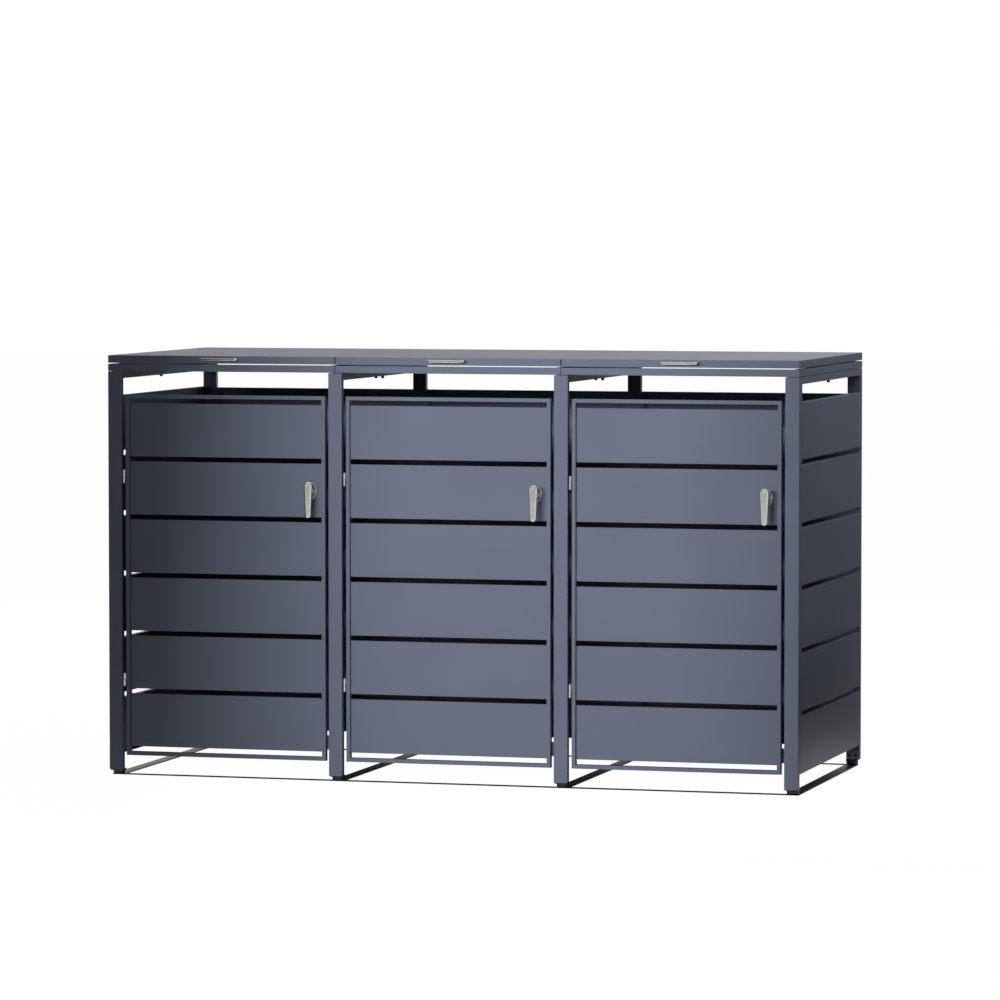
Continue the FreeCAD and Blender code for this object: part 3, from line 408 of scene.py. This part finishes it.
def powder_coat(name, base, roughness, peel_depth):
    """Baked polyester powder: an even colour under a semi-gloss skin with a fine orange peel.

    Real peel is about 1 mm across, drawn here at 3 mm so that it shows as the slight
    unevenness of the sheen. Wide, faint clouds vary the gloss as oven-cured coats do.
    The folds of the sheet and the edges of the tubes are shaded as rounded, which
    gives them the thin light line that a coated edge has.
    """
    tree = new_material(name)[1]
    clouds = pattern(tree, 180 * MM)
    peel = pattern(tree, 3 * MM, detail=3)
    fold = add_node(tree, "Bevel", {"Radius": 1.2 * MM}, samples=6)
    relief = {"Height": peel, "Strength": 0.5, "Distance": peel_depth, "Normal": fold.outputs[0]}
    bump = add_node(tree, "Bump", relief)
    shader = {
        "Base Color": tinted(tree, spread(tree, clouds, 0, 1), base, 0.04),
        "Roughness": spread(tree, clouds, roughness - 0.025, roughness + 0.025),
        "IOR": 1.5,
        "Normal": bump.outputs[0],
    }
    finish_surface(tree, add_node(tree, "BsdfPrincipled", shader))


def brushed_plate(name, base, roughness, stretch):
    """Plated metal brushed one way: long fine scratches blur the reflection across them.

    Scratches are 0.15 mm apart on the real part and drawn at 0.5 mm, so that they show.
    """
    tree = new_material(name)[1]
    scratches = pattern(tree, 0.5 * MM, detail=3, stretch=stretch)
    clouds = pattern(tree, 12 * MM)
    bump = add_node(tree, "Bump", {"Height": scratches, "Strength": 0.4, "Distance": 0.01 * MM})
    shader = {
        "Base Color": tinted(tree, spread(tree, clouds, 0, 1), base, 0.05),
        "Metallic": 1,
        "Roughness": spread(tree, scratches, roughness - 0.06, roughness + 0.06),
        "Normal": bump.outputs[0],
    }
    finish_surface(tree, add_node(tree, "BsdfPrincipled", shader))


def zinc_plating(name, base, roughness, crystals):
    """Electroplated zinc: a cool metal with faint cloudy patches from the bath."""
    tree = new_material(name)[1]
    patches = pattern(tree, crystals, detail=4)
    bump = add_node(tree, "Bump", {"Height": patches, "Strength": 0.3, "Distance": 0.02 * MM})
    shader = {
        "Base Color": tinted(tree, spread(tree, patches, 0, 1), base, 0.12),
        "Metallic": 1,
        "Roughness": spread(tree, patches, roughness - 0.05, roughness + 0.1),
        "Normal": bump.outputs[0],
    }
    finish_surface(tree, add_node(tree, "BsdfPrincipled", shader))


def moulded(name, base, roughness, grain):
    """Moulded nylon or rubber: a matt skin with the fine leathery grain of its mould."""
    tree = new_material(name)[1]
    lumps = pattern(tree, grain, detail=3)
    bump = add_node(tree, "Bump", {"Height": lumps, "Strength": 0.6, "Distance": 0.1 * MM})
    shader = {
        "Base Color": tinted(tree, spread(tree, lumps, 0, 1), base, 0.15),
        "Roughness": spread(tree, lumps, roughness - 0.08, roughness + 0.05),
        "IOR": 1.52,
        "Normal": bump.outputs[0],
    }
    finish_surface(tree, add_node(tree, "BsdfPrincipled", shader))


class BINSTORE_OT_finishes(bpy.types.Operator):
    """Make every finish and give it to the model's own nodes"""

    bl_idname = "bin_store.finishes"
    bl_label = "Finishes"

    def execute(self, context):
        finish = context.scene.bin_store_finish
        coat = (finish.anthracite, finish.coat_roughness)
        nickel = (finish.nickel, finish.nickel_roughness)
        powder_coat(SLOT_FINISHES["anthracite_coat"], *coat, 0.02 * MM)
        powder_coat(SLOT_FINISHES["black_coat"], finish.black_coat, 0.45, 0.03 * MM)
        brushed_plate(SLOT_FINISHES["satin_nickel"], *nickel, (1, 1, 0.04))
        brushed_plate(HANDLE_FINISH, *nickel, (0.04, 1, 1))
        zinc_plating(SLOT_FINISHES["hinge_steel"], finish.hinge_zinc, 0.22, 6 * MM)
        zinc_plating(SLOT_FINISHES["zinc_plate"], finish.screw_zinc, 0.35, 4 * MM)
        zinc_plating(SLOT_FINISHES["black_zinc"], finish.black_zinc, 0.4, 4 * MM)
        moulded(SLOT_FINISHES["black_plastic"], finish.foot_plastic, 0.5, 1.5 * MM)
        moulded(SLOT_FINISHES["black_rubber"], finish.buffer_rubber, 0.7, 1 * MM)
        for part in frame["record"]["subparts"]:
            materials = frame["nodes"][part["node"]].data.materials
            materials.clear()
            materials.append(bpy.data.materials[SLOT_FINISHES[part["material_slot"]]])
        return {"FINISHED"}


# Latches
def tapered_outline(high, high_radius, low, low_radius, count=72):
    """Outline of two round ends joined by straight sides, as a function of its inset.

    At angle a the edge's point is the end's centre plus (radius - inset) times
    (cos a, sin a). The upper end holds for the angles whose cosine is on its side of
    the tangent angle, asin of the radii's difference over the centres' distance.
    """
    tilt = math.asin((high_radius - low_radius) / (high - low))
    half = count // 2
    upper = np.linspace(-tilt, TURN / 2 + tilt, half)
    lower = np.linspace(TURN / 2 + tilt, TURN - tilt, count - half)

    def outline(inset):
        ends = []
        for turn, centre, radius in ((upper, high, high_radius), (lower, low, low_radius)):
            reach = radius - inset
            ends.append(np.column_stack((reach * np.cos(turn), centre + reach * np.sin(turn))))
        return np.concatenate(ends)

    return outline


def pointed_outline(wide, tall, count=48):
    """Outline of two equal arcs that meet in points, as a function of its inset.

    The arcs have radius R = (wide^2 + tall^2) / (4 wide) about (-c, 0) and (c, 0), where
    c = R - wide / 2. Set in, the radius is R - inset, and each arc ends where x is 0.
    """
    arc_radius = (wide**2 + tall**2) / (4 * wide)
    offset = arc_radius - wide / 2

    def outline(inset):
        reach = arc_radius - inset
        end = math.acos(offset / reach)
        turn = np.linspace(-end, end, count // 2, endpoint=False)
        right = np.column_stack((reach * np.cos(turn) - offset, reach * np.sin(turn)))
        return np.concatenate((right, -right))

    return outline


def oval_outline(wide, tall, count=32):
    """Ellipse with half axes wide / 2 - inset and tall / 2 - inset."""

    def outline(inset):
        turn = angles(count)
        return np.column_stack(((wide / 2 - inset) * np.cos(turn), (tall / 2 - inset) * np.sin(turn)))

    return outline


def at_pivot(part, pivot):
    """From the latch's own axes, X right, Y up and Z outwards, to the door's face."""
    points, faces = part
    return np.column_stack((points[:, 0], -points[:, 2], points[:, 1])) + np.array(pivot), faces


def thread(crest, root, start, stop, pitch):
    """Zigzag of a thread: pairs of radius and height from crest to root every half pitch."""
    heights = np.arange(start, stop, pitch / 2)
    return [(crest if number % 2 else root, float(height)) for number, height in enumerate(heights)]


class BINSTORE_OT_latches(bpy.types.Operator):
    """Make the lever latches: a lever with a sunk oval on a dished, pointed rose"""

    bl_idname = "bin_store.latches"
    bl_label = "Latches"

    def execute(self, context):
        sizes = context.scene.bin_store_latch
        for bay in BAYS:
            lever_low, lever_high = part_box("latch_lever_%d" % bay)
            rose_low, rose_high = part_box("latch_rose_%d" % bay)
            slat_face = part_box("door_slats_%d" % bay)[0].y
            pivot = ((rose_low.x + rose_high.x) / 2, slat_face, (rose_low.z + rose_high.z) / 2)
            lever = self.lever(sizes, pivot, lever_low, lever_high)
            rose = self.rose(sizes, pivot, rose_low, rose_high)
            latch, door = "latch_%d" % bay, "door_%d" % bay
            add_piece("lever_%d" % bay, lever, latch, "satin_nickel", ["latch_lever_%d" % bay])
            add_piece("rose_%d" % bay, rose, door, "satin_nickel", ["latch_rose_%d" % bay])
        return {"FINISHED"}

    def lever(self, sizes, pivot, low, high):
        """The blade, its neck and the spindle through the rose, from the pivot outwards."""
        face = pivot[1] - low.y
        back = face - sizes.lever_thick
        rise = high.z - pivot[2]
        fall = pivot[2] - low.z
        head = (high.x - low.x) / 2
        tip = sizes.lever_tip / 2
        outline = tapered_outline(rise - head, head, tip - fall, tip)
        bevel = sizes.lever_bevel
        flat = face - 0.2 * MM
        shoulder = flat - sizes.lever_crown
        blade = lofted(
            outline,
            (
                (1.6 * MM, back),
                (0.5 * MM, back + 0.3 * MM),
                (0, back + 1.2 * MM),
                (0, shoulder - bevel - 0.2 * MM),
                (0.15 * MM, shoulder - bevel + 0.1 * MM),
                (bevel - 0.25 * MM, shoulder - 0.15 * MM),
                (bevel, shoulder),
                (bevel + 3 * MM, flat),
            ),
        )
        oval = lofted(
            oval_outline(sizes.oval_width, sizes.oval_height),
            (
                (0, shoulder - 0.4 * MM),
                (0, flat),
                (0.3 * MM, face),
                (0.8 * MM, face),
                (1.0 * MM, face - 0.15 * MM),
            ),
        )
        oval = set_at(oval, (0, rise - sizes.oval_drop, 0))
        neck = turned(
            (
                (8.5 * MM, 8.3 * MM),
                (8.5 * MM, 12 * MM),
                (7.8 * MM, 13 * MM),
                (7.2 * MM, 22 * MM),
                (7.6 * MM, 30 * MM),
                (8.5 * MM, back + 0.5 * MM),
            ),
            40,
        )
        spindle = turned(
            (
                (3.4 * MM, -16 * MM),
                (4 * MM, -15.4 * MM),
                (4 * MM, -13 * MM),
                (5 * MM, -13 * MM),
                (5 * MM, 9 * MM),
            ),
            32,
        )
        return joined([at_pivot(part, pivot) for part in (blade, oval, neck, spindle)])

    def rose(self, sizes, pivot, low, high):
        """The dished plate on the slat's face and the threaded barrel behind it."""
        outline = pointed_outline(high.x - low.x, high.z - low.z)
        top = pivot[1] - low.y
        rim = sizes.rose_rim
        plate = lofted(
            outline,
            (
                (0, 0),
                (0, top - 1.6 * MM),
                (0.15 * MM, top - 1.3 * MM),
                (0.7 * rim, top - 0.05 * MM),
                (0.85 * rim, top),
                (rim, top - 0.1 * MM),
                (rim + 0.5 * MM, top - sizes.rose_dish),
            ),
        )
        reach = pivot[1] - high.y
        threads = thread(9 * MM, 8.5 * MM, reach + 0.8 * MM, -1.4 * MM, sizes.thread_pitch)
        barrel = turned(((8.4 * MM, reach), *threads, (9 * MM, -1 * MM), (9 * MM, 1 * MM)), 36)
        return joined([at_pivot(part, pivot) for part in (plate, barrel)])


# Lid handles
class BINSTORE_OT_lid_handles(bpy.types.Operator):
    """Make the bow handles on the front edges of the lids"""

    bl_idname = "bin_store.lid_handles"
    bl_label = "Lid handles"

    def execute(self, context):
        for bay in BAYS:
            node = "lid_handle_%d" % bay
            bow = self.bow(context.scene.bin_store_handle, *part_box(node))
            add_piece("bow_handle_%d" % bay, bow, "lid_%d" % bay, "satin_nickel", [node], HANDLE_FINISH)
        return {"FINISHED"}

    def bow(self, sizes, low, high):
        """A rounded rectangle carried from leg to leg, between an inner and an outer path.

        Station i has an inner point p and an outer point q in plan. A point of the section
        at share s across and height h is p + s (q - p), raised by h. The lower side is then
        drawn in at the ends: x is multiplied by 1 - slant / half times the share of the
        height that is left above the point.
        """
        half = (high.x - low.x) / 2
        reach = high.y - low.y
        tall = high.z - low.z
        corner = sizes.corner
        inner_reach = reach - sizes.bar_thick
        inner_half = half - sizes.leg_thick
        cut = 1.5 * MM
        outer = [(half, 0), (half, corner - reach), (half - corner, -reach), (half / 3, -reach)]
        inner = [
            (inner_half, 0),
            (inner_half, cut - inner_reach),
            (inner_half - cut, -inner_reach),
            (half / 3, -inner_reach),
        ]
        mirror = np.array((-1, 1))
        outer = np.concatenate((outer, (np.array(outer) * mirror)[::-1]))
        inner = np.concatenate((inner, (np.array(inner) * mirror)[::-1]))
        rings = []
        for p, q in zip(inner, outer):
            across = np.linalg.norm(q - p)
            section = rounded(across, tall, sizes.edge, 4)
            plan = p + (section[:, :1] / across + 0.5) * (q - p)
            rings.append(np.column_stack((plan, section[:, 1])))
        points, faces = skin(rings)
        points[:, 0] *= 1 - sizes.slant / half * (0.5 - points[:, 2] / tall)
        centre = np.array(((low.x + high.x) / 2, high.y, (low.z + high.z) / 2))
        return points + centre, faces


# Hinges
def knuckle(radius, start, finish, chamfer, groove):
    """Turned knuckle along Z with chamfered ends and a groove near each."""
    near, far = start + 3 * chamfer, finish - 3 * chamfer
    return turned(
        (
            (radius - chamfer, start),
            (radius, start + chamfer),
            (radius, near),
            (radius - groove, near + groove),
            (radius - groove, near + 2 * groove),
            (radius, near + 3 * groove),
            (radius, far - 3 * groove),
            (radius - groove, far - 2 * groove),
            (radius - groove, far - groove),
            (radius, far),
            (radius, finish - chamfer),
            (radius - chamfer, finish),
        ),
        32,
    )


class BINSTORE_OT_door_hinges(bpy.types.Operator):
    """Make the lift-off hinges of the doors: a base with its pin and a capped knuckle"""

    bl_idname = "bin_store.door_hinges"
    bl_label = "Door hinges"

    def execute(self, context):
        sizes = context.scene.bin_store_hinge
        axis_y = FRONT + 4 * MM
        bases = []
        for bay in BAYS:
            node = "door_hinge_leaves_%d" % bay
            low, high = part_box(node)
            post_side = post_x(bay) + POST_WIDTH / 2
            axis_x = (post_side + high.x) / 2
            leaves = []
            for split in (low.z - sizes.play, high.z - sizes.knuckle_length - sizes.play):
                start = np.array((axis_x, axis_y, split))
                bases.append(self.half(sizes, start, -1, post_side))
                bases.append(set_at(self.pin(sizes), start))
                leaves.append(self.half(sizes, start, 1, high.x))
            add_piece("hinge_knuckles_%d" % bay, joined(leaves), "door_%d" % bay, "hinge_steel", [node])
        add_piece("hinge_pins", joined(bases), "frame", "hinge_steel", ["door_hinge_bases"])
        return {"FINISHED"}

    def half(self, sizes, start, side, wall):
        """Knuckle, web and welded leaf above or below the split, against a wall at one x."""
        radius = sizes.knuckle_width / 2
        rise = sizes.knuckle_length
        low = sizes.play if side > 0 else -sizes.play - rise
        web_back = start[1] + radius
        leaf_back = start[1] + 13 * MM
        leaf_front = web_back - sizes.web_thick
        middle = (wall - side * sizes.leaf_thick / 2, (leaf_front + leaf_back) / 2, start[2] + low)
        leaf = set_at(eased(sizes.leaf_thick, leaf_back - leaf_front, rise, 0.4 * MM), middle)
        web_middle = ((wall + start[0]) / 2, web_back - sizes.web_thick / 2, start[2] + low)
        web = set_at(eased(abs(wall - start[0]), sizes.web_thick, rise, 0.4 * MM), web_middle)
        barrel = set_at(knuckle(radius, low, low + rise, sizes.chamfer, sizes.groove), start)
        return joined((barrel, web, leaf))

    def pin(self, sizes):
        radius = sizes.pin_width / 2
        return turned(((radius, -2 * MM), (radius, 15 * MM), (radius - 0.5 * MM, 15.6 * MM)), 24)


class BINSTORE_OT_lid_fittings(bpy.types.Operator):
    """Make the domed rubber buffers under the lids"""

    bl_idname = "bin_store.lid_fittings"
    bl_label = "Lid fittings"

    def execute(self, context):
        low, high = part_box("lid_buffers")
        tall = high.z - low.z
        inset, setback = 10 * MM, 150 * MM
        buffer = turned(
            (
                (3.2 * MM, 0),
                (4.1 * MM, 0.3 * MM),
                (4.25 * MM, 1 * MM),
                (4.25 * MM, tall - 2 * MM),
                (3.9 * MM, tall - 0.9 * MM),
                (2.9 * MM, tall - 0.2 * MM),
                (1.6 * MM, tall),
            ),
            24,
        )
        parts = []
        for bay in BAYS:
            lid_low, lid_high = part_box("lid_panel_%d" % bay)
            for x in (lid_low.x + inset, lid_high.x - inset):
                for y in (FRONT + setback, BACK - setback):
                    parts.append(set_at(buffer, (x, y, low.z)))
        add_piece("domed_buffers", joined(parts), "frame", "black_rubber", ["lid_buffers"])
        return {"FINISHED"}


# Fasteners
def screw(head, top, shank, reach, socket, count):
    """Domed screw with a star socket: radius and height of each ring, from tip to socket."""
    return turned(
        (
            (0.6 * MM, -reach),
            (shank / 2, -reach + 1.5 * MM),
            (shank / 2, 0),
            (head / 2 - 0.2 * MM, 0),
            (head / 2, 0.35 * top),
            (head * 0.42, 0.75 * top),
            (head * 0.30, top),
            (head * socket / 2, top, star_ring),
            (head * socket / 2, 0.45 * top, star_ring),
        ),
        count,
    )


def bolt(head, top, shank, reach, washer):
    """Hexagon bolt with a round flange and a chamfered top, head along +Z."""
    corner = 0.46 * head
    flat = corner * math.cos(TURN / 12)
    return turned(
        (
            (shank / 2 - 0.6 * MM, -reach),
            (shank / 2, -reach + 0.8 * MM),
            (shank / 2, 0),
            (head / 2, 0),
            (head / 2, 0.5 * washer),
            (0.485 * head, washer),
            (corner, 1.05 * washer, hexagon_ring),
            (corner, top - 0.7 * MM, hexagon_ring),
            (flat, top),
        ),
        36,
    )


def placed(piece, spots):
    """One skin at each place, turned to its direction."""
    return joined([set_at(piece, *spot) for spot in spots])


class BINSTORE_OT_fasteners(bpy.types.Operator):
    """Make the panel screws, foot screws and frame bolts"""

    bl_idname = "bin_store.fasteners"
    bl_label = "Fasteners"

    def execute(self, context):
        sizes = context.scene.bin_store_fastener
        head, top = sizes.screw_head, sizes.screw_head_height
        panel_screw = screw(head, top, 3.5 * MM, 9 * MM, sizes.socket, 18)
        screws = placed(panel_screw, self.panel_spots())
        add_piece("star_screws", screws, "frame", "zinc_plate", ["panel_screws"])
        head, top = sizes.foot_screw_head, sizes.foot_screw_head_height
        foot_screw = screw(head, top, 4 * MM, 10 * MM, sizes.socket, 24)
        screws = placed(foot_screw, self.foot_spots())
        add_piece("foot_star_screws", screws, "frame", "black_zinc", ["foot_screws"])
        low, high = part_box("frame_bolts")
        head_height, reach = RAIL_UNDERSIDE - low.z, high.z - RAIL_UNDERSIDE
        frame_bolt = bolt(10 * MM, head_height, 6 * MM, reach, sizes.washer)
        bolts = placed(frame_bolt, self.bolt_spots())
        add_piece("hexagon_bolts", bolts, "frame", "black_zinc", ["frame_bolts"])
        return {"FINISHED"}

    def bolt_spots(self):
        """Place and direction of each bolt, under the rails at both sides of each bay."""
        spots = []
        for bay in BAYS:
            for side in SIDES:
                outer = bay * side in (-BAYS[0], BAYS[-1])
                offset = PITCH / 2 + (10 * MM if outer else -10 * MM)
                spots.append(((bay_x(bay) + side * offset, MIDDLE, RAIL_UNDERSIDE), (0, 0, -1)))
        return spots

    def foot_spots(self):
        """Place and direction of each screw in the feet's brackets."""
        spread, level = 19 * MM, 28 * MM
        spots = []
        for number in POSTS:
            for side in SIDES:
                x = post_x(number) + side * spread / 2
                spots.append(((x, FRONT + POST_DEPTH, level), (0, 1, 0)))
                spots.append(((x, BACK - POST_DEPTH, level), (0, -1, 0)))
        return spots

    def panel_spots(self):
        """Place and direction of each screw in the slats, back panels and door stops."""
        spots = []
        sheet, inset = 1.2 * MM, 10 * MM
        slats, slat_height, slat_gap = 6, 158.4 * MM, 16 * MM
        low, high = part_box("side_slats_right")
        for row in range(slats):
            level = low.z + slat_height / 2 + row * (slat_height + slat_gap)
            for side in SIDES:
                x = side * (high.x - inset)
                spots.append(((x, low.y + sheet, level), (0, 1, 0)))
                spots.append(((x, high.y - sheet, level), (0, -1, 0)))
        screws_up, end = 4, 60 * MM
        for bay in BAYS:
            low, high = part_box("back_panel_%d" % bay)
            for level in np.linspace(low.z + end, high.z - end, screws_up):
                spots.append(((low.x + sheet, BACK - inset, level), (1, 0, 0)))
                spots.append(((high.x - sheet, BACK - inset, level), (-1, 0, 0)))
        stop_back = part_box("door_stops")[1].y
        stop_inset, stop_levels = 8 * MM, (110 * MM, 1040 * MM)
        for number in POSTS[1:]:
            for level in stop_levels:
                spots.append(((post_x(number) - stop_inset, stop_back, level), (0, 1, 0)))
        return spots


# Feet
class BINSTORE_OT_feet(bpy.types.Operator):
    """Make the moulded feet with gripped rims, and their threaded studs"""

    bl_idname = "bin_store.feet"
    bl_label = "Feet"

    def execute(self, context):
        sizes = context.scene.bin_store_foot
        low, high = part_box("feet")
        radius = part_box("ground_bars_long")[1].x - post_x(POSTS[-1])
        inset, pad_height = 27 * MM, 11 * MM
        spots = []
        for number in POSTS:
            for y in (FRONT + inset, BACK - inset):
                spots.append(((post_x(number), y, low.z),))
        pads = placed(self.pad(sizes, radius, pad_height), spots)
        studs = placed(self.stud(pad_height, high.z - low.z), spots)
        add_piece("foot_pads", pads, "frame", "black_plastic", ["feet"])
        add_piece("foot_studs", studs, "frame", "zinc_plate")
        return {"FINISHED"}

    def pad(self, sizes, radius, tall):
        """Turned pad with a quarter-round lower edge; its rim's radius goes in at each grip.

        The rim's radius is the pad's less half the grip depth times (1 - cos of grips
        times the angle).
        """
        points_per_grip = 6
        edge = sizes.lower_edge

        def gripped(count):
            return 1 - sizes.grip_depth / (2 * radius) * (1 - np.cos(sizes.grips * angles(count)))

        curve = np.linspace(0, TURN / 4, 5)
        lower = [(radius - edge + edge * math.sin(a), edge - edge * math.cos(a), gripped) for a in curve]
        upper = [
            (radius, tall - 1.2 * MM, gripped),
            (radius - 0.5 * MM, tall - 0.3 * MM),
            (radius - 1.2 * MM, tall),
        ]
        rings = [(radius - edge - 2 * MM, 0), *lower, *upper]
        return turned(rings, sizes.grips * points_per_grip)

    def stud(self, start, finish):
        """Threaded stud from the pad's top, through the bracket's hole."""
        pitch = 1.25 * MM
        threads = thread(4 * MM, 3.6 * MM, start - 0.5 * MM, finish - 1 * MM, pitch)
        return turned([*threads, (3.5 * MM, finish)], 24)


# Studio
class BINSTORE_OT_stage(bpy.types.Operator):
    """Set up the floor, the soft lights and the camera"""

    bl_idname = "bin_store.stage"
    bl_label = "Studio"

    # Each lamp's setting for its power, place, size and target
    LAMPS = (
        ("key light", "key_power", (-1.56, -8.4, 2.4), (5.14, 0.5), (-0.1, -0.4, 0.7)),
        ("side light", "side_power", (1.7, 0.0, 2.0), (0.6, 1.2), (1.0, 0, 0.9)),
        ("back light", "back_power", (-1.5, 6.0, 2.5), (2.5, 2.0), (0, 0.4, 0.6)),
    )
    # Each screen's two ends in plan, its lowest and highest level, the share of light that
    # it lets through, its own brightness, and whether shadows and reflections meet it
    SCREENS = (
        ("left scrim", (-6.0, -2.0), (-0.642, -1.39), 0, 4.0, 0.1, 0, True, False),
        ("right scrim", (0.714, -1.93), (5.0, -1.93), 0, 4.0, 0.04, 0, True, False),
        ("low scrim", (-8.0, -6.9), (6.0, -6.9), 0, 1.91, 0.65, 0, True, False),
        # Painted reflections: the left screen and right rear screen are black sheets that only reflections
        # meet, darkening what the left end and the right side mirror.
        ("left screen", (-5.0, -2.3), (-1.05, -1.63), 0, 4.0, 0, 0, False, True),
        ("right rear screen", (1.1, 0.9), (6.0, 0.9), 0, 4.0, 0, 0, False, True),
        # Painted reflection: a grey glowing sheet that only reflections meet, standing in for the front
        # lights' reflection in the coat and the nickel.
        ("front screen", (-8.0, -9.4), (4.0, -9.4), 0, 5.0, 0, 0.47, False, True),
        # Painted reflection: a low black sheet that only reflections meet, darkening the white floor in the
        # right side's lowest slats.
        ("low right screen", (1.12, -0.6), (1.45, 0.9), 0, 0.3, 0, 0, False, True),
        # Painted highlight: a bright glowing strip that only reflections meet, giving the light lines on
        # the lids' front edges and the levers' tops.
        ("high strip", (-0.9, -1.6), (1.2, -1.6), 3.0, 4.6, 1, 4.0, False, True),
    )

    def execute(self, context):
        scene = context.scene
        studio = scene.bin_store_studio
        self.floor(scene, studio)
        self.world(scene, studio)
        for screen in self.SCREENS:
            self.screen(scene, *screen)
        self.shaded_ground(scene)
        for name, setting, place, size, target in self.LAMPS:
            self.lamp(scene, name, place, size, target, getattr(studio, setting))
        self.camera(scene)
        scene.view_settings.view_transform = "Standard"
        return {"FINISHED"}

    def sheet(self, scene, name, finish, corners, shader):
        """A flat stage piece with four corners, and the shader that its finish ends in."""
        mesh = bpy.data.meshes.new(name)
        mesh.from_pydata(corners, [], [(0, 1, 2, 3)])
        material, tree = new_material(finish)
        finish_surface(tree, shader(tree))
        mesh.materials.append(material)
        piece = bpy.data.objects.new(name, mesh)
        scene.collection.objects.link(piece)
        return piece

    def floor(self, scene, studio):
        """A pale floor that keeps the store's shadow and runs into the white behind."""

        def shader(tree):
            diffuse = add_node(tree, "BsdfDiffuse", {"Color": (*studio.floor_colour, 1)})
            factors = {0: self.seen(tree), 1: studio.floor_glow}
            strength = add_node(tree, "Math", factors, operation="MULTIPLY").outputs[0]
            glow = add_node(tree, "Emission", {"Color": (1, 1, 1, 1), "Strength": strength})
            return add_node(tree, "AddShader", {0: diffuse.outputs[0], 1: glow.outputs[0]})

        half = 40.0
        corners = [(-half, -half, 0), (half, -half, 0), (half, half, 0), (-half, half, 0)]
        self.sheet(scene, "floor", "pale studio floor", corners, shader)

    def seen(self, tree):
        """1 for camera, glossy and transmission rays, 0 for the rays that carry soft light."""
        rays = add_node(tree, "LightPath").outputs
        pair = {0: rays["Is Camera Ray"], 1: rays["Is Glossy Ray"]}
        first = add_node(tree, "Math", pair, operation="MAXIMUM").outputs[0]
        pair = {0: first, 1: rays["Is Transmission Ray"]}
        return add_node(tree, "Math", pair, operation="MAXIMUM").outputs[0]

    def world(self, scene, studio):
        """White where it is looked at or reflected, and a lower even light elsewhere."""
        world = bpy.data.worlds.new("white studio")
        world.use_nodes = True
        tree = world.node_tree
        tree.nodes.clear()
        levels = {"Value": self.seen(tree), "To Min": studio.ambient, "To Max": 1.0}
        strength = add_node(tree, "MapRange", levels).outputs[0]
        light = add_node(tree, "Background", {"Color": (1, 1, 1, 1), "Strength": strength})
        add_node(tree, "OutputWorld", {"Surface": light.outputs[0]})
        scene.world = world

    def screen(self, scene, name, left, right, foot, top, *cloth):
        """An upright cloth between two ends in plan."""
        corners = [(*left, foot), (*right, foot), (*right, top), (*left, top)]
        self.cloth(scene, name, corners, *cloth)

    def shaded_ground(self, scene):
        """Painted shade: the ground between the walls is in the store's shade, so a black sheet that only
        reflections meet is laid over it.
        """
        left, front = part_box("post_front_1")[0][:2]
        right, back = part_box("post_back_4")[1][:2]
        level = 0.5 * MM
        plan = ((left, front), (right, front), (right, back), (left, back))
        self.cloth(scene, "shaded ground", [(*corner, level) for corner in plan], 0, 0, False, True)

    def cloth(self, scene, name, corners, passes, white, shadow, gloss):
        """A flat cloth that only shadows or reflections meet. Where only reflections meet it, its black or
        its glow is a painted reflection, and under the store a painted shade.
        """

        def shader(tree):
            net = add_node(tree, "BsdfTransparent", {"Color": (passes, passes, passes, 1)})
            glow = add_node(tree, "Emission", {"Strength": white})
            return add_node(tree, "AddShader", {0: net.outputs[0], 1: glow.outputs[0]})

        piece = self.sheet(scene, name, name + " cloth", corners, shader)
        piece.visible_camera = False
        piece.visible_diffuse = False
        piece.visible_shadow = shadow
        piece.visible_glossy = gloss

    def lamp(self, scene, name, place, size, target, power):
        light = bpy.data.lights.new(name, "AREA")
        light.shape = "RECTANGLE"
        light.size, light.size_y = size
        light.energy = power
        lamp = bpy.data.objects.new(name, light)
        lamp.visible_camera = False
        lamp.visible_glossy = False
        lamp.location = place
        lamp.rotation_euler = (Vector(target) - Vector(place)).to_track_quat("-Z", "Y").to_euler()
        scene.collection.objects.link(lamp)

    def camera(self, scene):
        """A long lens 14 m in front, to the right of the store's middle and above its top."""
        data = bpy.data.cameras.new("photo camera")
        data.sensor_width = 36
        data.lens = 183.98
        data.clip_end = 200
        camera = bpy.data.objects.new("photo camera", data)
        camera.location = (4.0172, -14.1686, 1.6203)
        yaw, pitch = math.radians(15.684), math.radians(3.253)
        camera.rotation_euler = (math.radians(90) - pitch, 0, yaw)
        scene.collection.objects.link(camera)
        scene.camera = camera


STEPS = (
    BINSTORE_OT_finishes,
    BINSTORE_OT_latches,
    BINSTORE_OT_lid_handles,
    BINSTORE_OT_door_hinges,
    BINSTORE_OT_lid_fittings,
    BINSTORE_OT_fasteners,
    BINSTORE_OT_feet,
    BINSTORE_OT_stage,
)


class BINSTORE_PT_panel(bpy.types.Panel):
    """Sizes, colours and steps of the bin store"""

    bl_idname = "BINSTORE_PT_panel"
    bl_label = "Wheelie bin store"
    bl_space_type = "VIEW_3D"
    bl_region_type = "UI"
    bl_category = "Bin store"

    def draw(self, context):
        for step in STEPS:
            self.layout.operator(step.bl_idname)
        for name, group in GROUPS.items():
            box = self.layout.box()
            for size in group.__annotations__:
                box.prop(getattr(context.scene, name), size)


CLASSES = (*GROUPS.values(), *STEPS, BINSTORE_PT_panel)


def register():
    for item in CLASSES:
        bpy.utils.register_class(item)
    for name, group in GROUPS.items():
        setattr(bpy.types.Scene, name, PointerProperty(type=group))


def unregister():
    for name in GROUPS:
        delattr(bpy.types.Scene, name)
    for item in reversed(CLASSES):
        bpy.utils.unregister_class(item)


def main():
    register()
    for step in STEPS:
        family, name = step.bl_idname.split(".")
        getattr(getattr(bpy.ops, family), name)()


if __name__ == "__main__":
    main()
